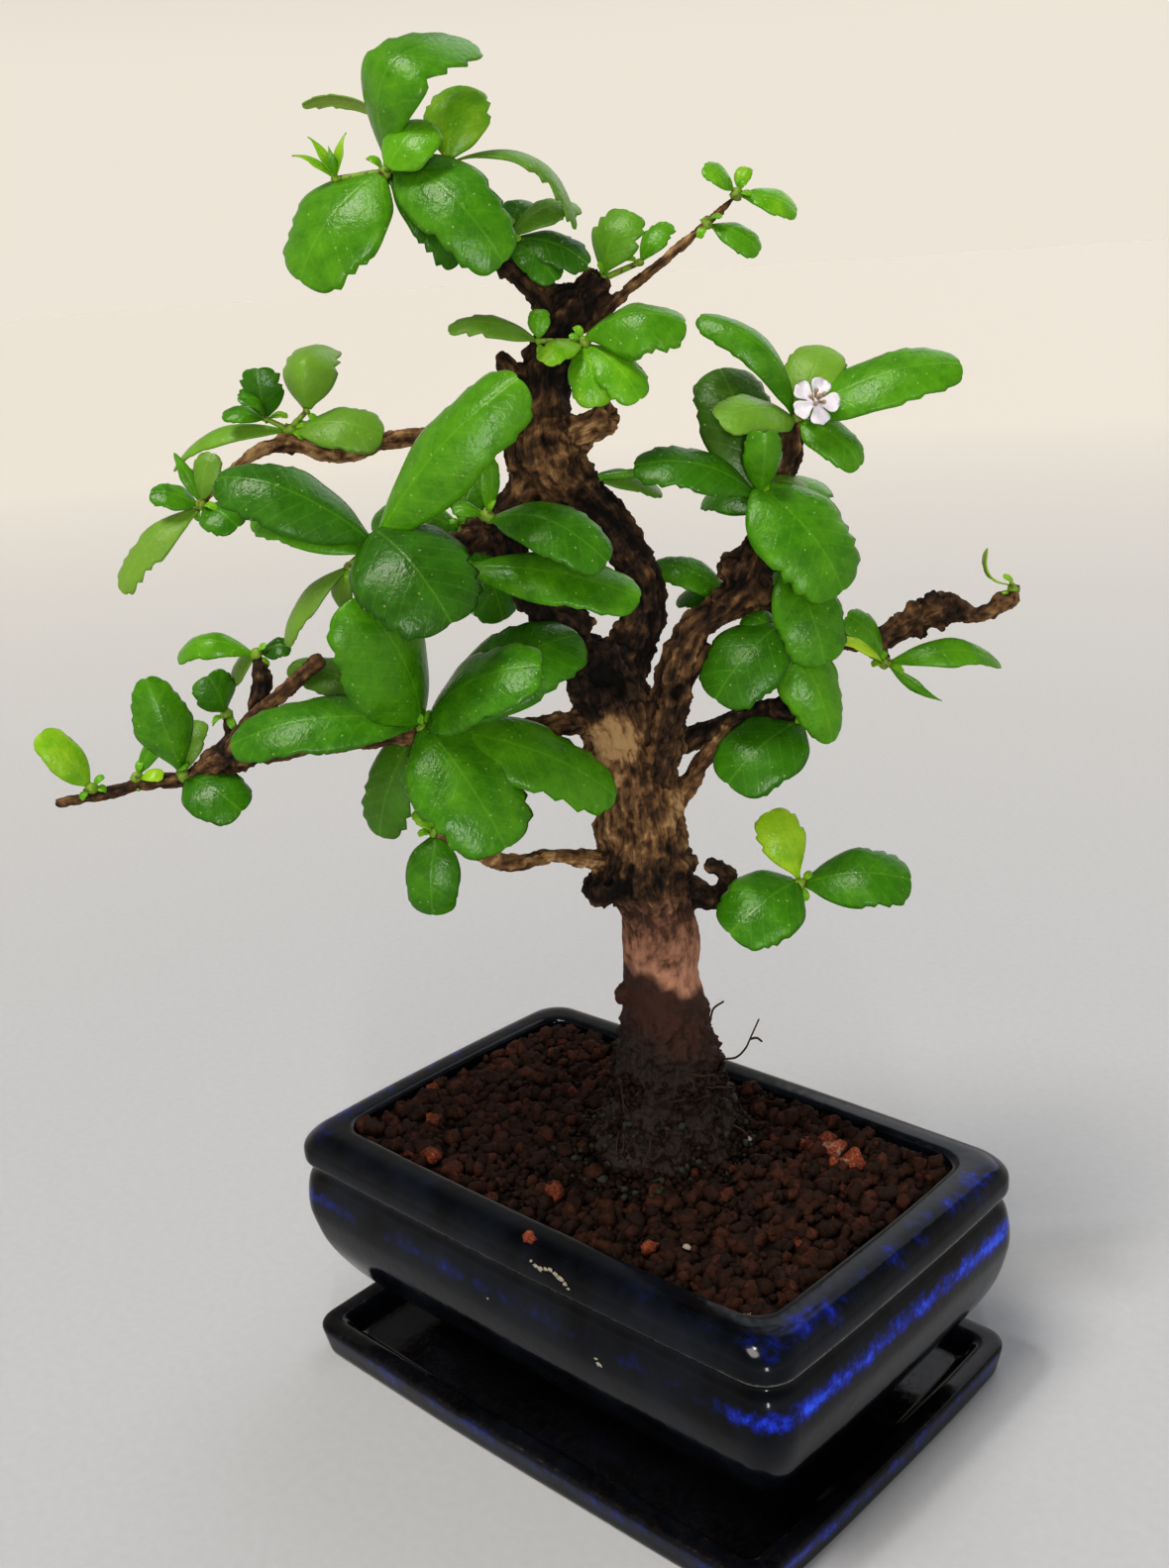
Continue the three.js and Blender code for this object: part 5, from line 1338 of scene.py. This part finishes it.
def buildFlower():
    form = flowerForm
    white = plainFinish("petalWhite", petalLook["white"], 0.55, 1.0)
    cream = plainFinish("antherCream", petalLook["anther"], 0.7, 0.6)
    corolla, stamens = Heap(), Heap()
    outline = smoothLine(form["outline"], 6)
    s, t = np.meshgrid(np.linspace(0, 1, 10), np.linspace(-1, 1, 9), indexing="ij")
    for k in range(form["petals"]):
        x = 0.4 + s * (form["radius"] - 0.4) + 0.25 * (s > 0.9) * (1 - t**2)
        y = t * (np.interp(s, outline[:, 0], outline[:, 1]) * form["petalWide"] / 2)
        z = 0.2 + 0.9 * s**2 - 0.9 * s + 0.5 * t**2 * s + 0.25 * np.sin(5 * s + 3 * t + k)
        a = fullTurn * k / form["petals"]
        spin = np.array([[math.cos(a), -math.sin(a), 0], [math.sin(a), math.cos(a), 0], [0, 0, 1]])
        upper = np.stack([x, y, z], -1).reshape(-1, 3) @ spin.T
        corolla.add(flowerPlace(np.vstack([upper, upper - (0, 0, 0.22)])), sheetFaces(*s.shape))
    points, faces = limbRings(form["tube"], 4, 12)[:2]
    corolla.add(flowerPlace(points), faces)
    piece = corolla.build("corollaPetals", [white])
    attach(piece, "root")
    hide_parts("corolla")
    # Five stamens and, in their middle, the longer style.
    for k in range(form["petals"] + 1):
        a = fullTurn * k / form["petals"] + 0.6
        out, high = (1.5, 2.4) if k < form["petals"] else (0.15, 3.2)
        c, s = math.cos(a), math.sin(a)
        middle = [0.8 * out * c, 0.8 * out * s, 0.7 * high, 0.3]
        line = [[0.4 * c, 0.4 * s, 0.6, 0.3], middle, [out * c, out * s, high, 0.3]]
        head = lumpyBall((out * c, out * s, high), form["anther"], k, 0.2, 2)
        for points, faces in (limbRings(line, 4, 6)[:2], head):
            stamens.add(flowerPlace(points), faces)
    piece = stamens.build("stamenTuft", [cream])
    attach(piece, "root")
    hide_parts("stamens")


# Specks stuck to the long wall: x, y, z and size.
splashes = [
    (10.8, -48.4, 57.9, 0.4), (12.2, -48.5, 57.3, 0.7), (13.7, -48.6, 57.2, 0.9), (15.2, -48.5, 57.7, 0.6),
    (16.6, -48.4, 58, 0.7), (18.2, -48.5, 57.6, 0.8), (19.7, -48.6, 57.2, 1.0), (21.1, -48.7, 56.5, 0.7),
    (22.2, -48.8, 55.9, 0.4), (29.6, -48.9, 40.5, 0.9), (28.9, -48.9, 41.6, 0.5), (-4, -48.9, 42.5, 0.4),
]
# Fine roots at the foot, each through points in the tree's frame, and how many more are left to chance.
seenRoots = [
    [(12, 0, 78), (14.4, 0, 80.6), (18.9, 0, 80.8), (21.4, 0, 83), (22.6, 0, 85.4), (24.9, 0, 90.4)],
    [(22.6, 0, 85.4), (24.2, 0, 85.6), (25.4, 0, 84.6)],
    [(11, 0, 89), (13.4, 0, 91.4), (14.4, 0, 94), (16.8, 0, 95.6)],
]
looseRoots = {"count": 26, "steps": 4, "flare": [[57, 66, 75, 85], [18.5, 16, 13, 10.8]]}
paleGrains = [(36, -26), (60.5, -36.5), (21.3, 14.8)]


# The roots, and litter on the soil and the rim.
def buildTrifles(bark, clay):
    draws = np.random.default_rng(21)
    roots, litter = Heap(), Heap()
    lines = list(seenRoots)
    for _ in range(looseRoots["count"]):
        angle, high = draws.uniform(0, fullTurn), draws.uniform(62, 84)
        reach = np.interp(high, *looseRoots["flare"])
        c, s = math.cos(angle), math.sin(angle)
        at = np.array([3 + reach * c, reach * s, high])
        way = np.array([c * 0.5 - s, s * 0.5 + c, -0.5])
        line = [at]
        for _ in range(looseRoots["steps"]):
            way = way + draws.normal(0, 0.35, 3)
            at = at + way / np.linalg.norm(way) * draws.uniform(1.2, 2.6)
            line.append(at)
        lines.append(line)
    for line in lines:
        stations = [[*p, 0.3 - 0.02 * i] for i, p in enumerate(line)]
        points, faces = limbRings(stations, 4, 6)[:2]
        roots.add(inPart(points), faces, light=0.15, smooth=0, wet=0.7)
    piece = roots.build("hairRoots", [bark])
    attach(piece, "root")
    # An orange grain on the rim, pale ones on the soil, and dried splashes on the long wall.
    balls = [((7.6, -45.4, 60.9), (1.7, 1.4, 1.3), 4, 0.5, 0.8)]
    for k, (x, y) in enumerate(paleGrains):
        balls.append(((x, y, soilHeight(x, y)[0] + 1.6), (1.1, 0.7, 0.6), 30 + k, 0.4, 1.0))
    for k, (x, y, z, size) in enumerate(splashes):
        balls.append(((x, y, z), (size, 0.3, size * 0.6), 60 + k, 0.9, 1.1))
    for at, size, seed, rough, tone in balls:
        points, faces = lumpyBall(at, size, seed, rough, 2)
        litter.add(points * mm, faces, tone=tone)
    piece = litter.build("strayGrains", [clay])
    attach(piece, "root")


glaze = glazedStoneware()
clay = firedClay()
bark = livingBark()
leafGreen = waxedLeaf()
shoot = softShoot()
report("materials are made")
buildSaucer(glaze)
buildPot(glaze)
report("pot and saucer are made")
buildSoil(clay)
report("soil is made")
buildTrunk(bark)
report("trunk is made")
buildSprays(leafGreen, shoot)
buildFlower()
buildTrifles(bark, clay)
report("leaves and flower are made")


# A plain pale floor, soft studio light and the camera at the photograph's place.
studio = {
    "floor": "#b6b7ba",
    "floorFar": "#dad5cd",
    "floorSize": 60.0,
    "floorGrainMm": 2.5,
    "level": "#f0e9dc",
    "levelStrength": 0.82,
    "above": "#8f959c",
    "aboveStrength": 0.5,
    "lens": 37.66,
    "camera": (0.2382, -0.2560, 0.2618),
    "yaw": -44.11,
    "pitch": 17.51,
    "roll": -4.04,
}
# Each sun's way is to the right, towards the camera and up, then strength, spread and colour.
suns = {
    "softAbove": ((-0.35, 0.3, 0.9), 1.9, 22, "#fff8ec"),
    "softBehind": ((0.5, -0.7, 0.6), 0.7, 50, "#f6f8ff"),
    "glint": ((-0.2, 0.1, 0.9), 0.5, 4, "#ffffff"),
}
window = {
    "spot": (0.88, -0.88, 0.3),
    "aim": (0, 0, 0.1),
    "size": (0.1, 0.5),
    "strength": 6.5,
    "shade": "#ffffff",
}


def buildFloor():
    look = studio
    material, add, (grain,) = startMaterial("paleFloor", (look["floorGrainMm"], 2.0, 0.5))
    # Its far part is painted paler, a painted pool of light, as a sheet of paper that runs up into the
    # light would be.
    far = add("range", {1: 0.25, 2: 2.2}, {0: add("length", None, {0: add("place")})})
    base = add("shade", {6: colour(look["floor"]), 7: colour(look["floorFar"])}, {0: far})
    grainShare = add("range", {3: 0.9}, {0: grain})
    surface = add("shade", {6: (0, 0, 0, 1)}, {0: grainShare, 7: base})
    settings = {"Roughness": 0.85, "Specular IOR Level": 0.2}
    finishMaterial(material, settings, {"Base Color": surface})
    half = look["floorSize"] / 2
    corners = [(-half, -half, 0), (half, -half, 0), (half, half, 0), (-half, half, 0)]
    sheet = Heap()
    sheet.add(corners, [(0, 1, 2, 3)])
    floor = sheet.build("paleFloorPlane", [material])


# The room round the tree: pale at eye level, dimmer overhead, the same from every side.
def buildRoom():
    world = bpy.data.worlds.new("paleRoom")
    world.use_nodes = True
    tree = world.node_tree
    add = partial(addNode, tree)
    rise = add("range", {1: 0.12, 2: 0.75}, {0: add("upward", None, {"Vector": add("way")})})
    level, above = (colour(studio[name], studio[name + "Strength"]) for name in ("level", "above"))
    shade = add("shade", {6: level, 7: above}, {0: rise})
    tree.links.new(shade, tree.nodes["Background"].inputs["Color"])
    bpy.context.scene.world = world


def addLamp(name, kind, strength, shade):
    data = bpy.data.lights.new(name, kind)
    data.energy, data.color = strength, colour(shade)[:3]
    return placeObject(name, data)


def buildStudio():
    buildFloor()
    buildRoom()
    yaw, pitch, roll = (math.radians(studio[name]) for name in ("yaw", "pitch", "roll"))
    level, near = Vector((math.cos(yaw), -math.sin(yaw), 0)), Vector((-math.sin(yaw), -math.cos(yaw), 0))
    for name, (fromWay, strength, spreadAngle, shade) in suns.items():
        lamp = addLamp(name, "SUN", strength, shade)
        lamp.data.angle = math.radians(spreadAngle)
        way = level * fromWay[0] + near * fromWay[1] + Vector((0, 0, fromWay[2]))
        lamp.location = way.normalized()
        lamp.rotation_euler = way.to_track_quat("Z", "Y").to_euler()
    lamp = addLamp("window", "AREA", window["strength"], window["shade"])
    lamp.data.shape = "RECTANGLE"
    lamp.data.size, lamp.data.size_y = window["size"]
    lamp.location = window["spot"]
    aim = Vector(window["aim"]) - Vector(window["spot"])
    lamp.rotation_euler = aim.to_track_quat("-Z", "Y").to_euler()
    ahead = Vector((math.sin(yaw) * math.cos(pitch), math.cos(yaw) * math.cos(pitch), -math.sin(pitch)))
    above = level.cross(ahead)
    right = math.cos(roll) * level + math.sin(roll) * above
    up = -math.sin(roll) * level + math.cos(roll) * above
    data = bpy.data.cameras.new("photoCamera")
    data.lens, data.sensor_width, data.sensor_fit = studio["lens"], 36.0, "AUTO"
    data.clip_start, data.clip_end = 0.01, 100.0
    camera = placeObject("photoCamera", data)
    turn = Matrix((right, up, -ahead)).transposed().to_4x4()
    camera.matrix_world = Matrix.Translation(Vector(studio["camera"])) @ turn
    bpy.context.scene.camera = camera
    bpy.context.scene.view_settings.view_transform = "Standard"
    bpy.context.scene.view_settings.look = "Medium High Contrast"


buildStudio()
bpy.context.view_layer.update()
report("scene is ready")
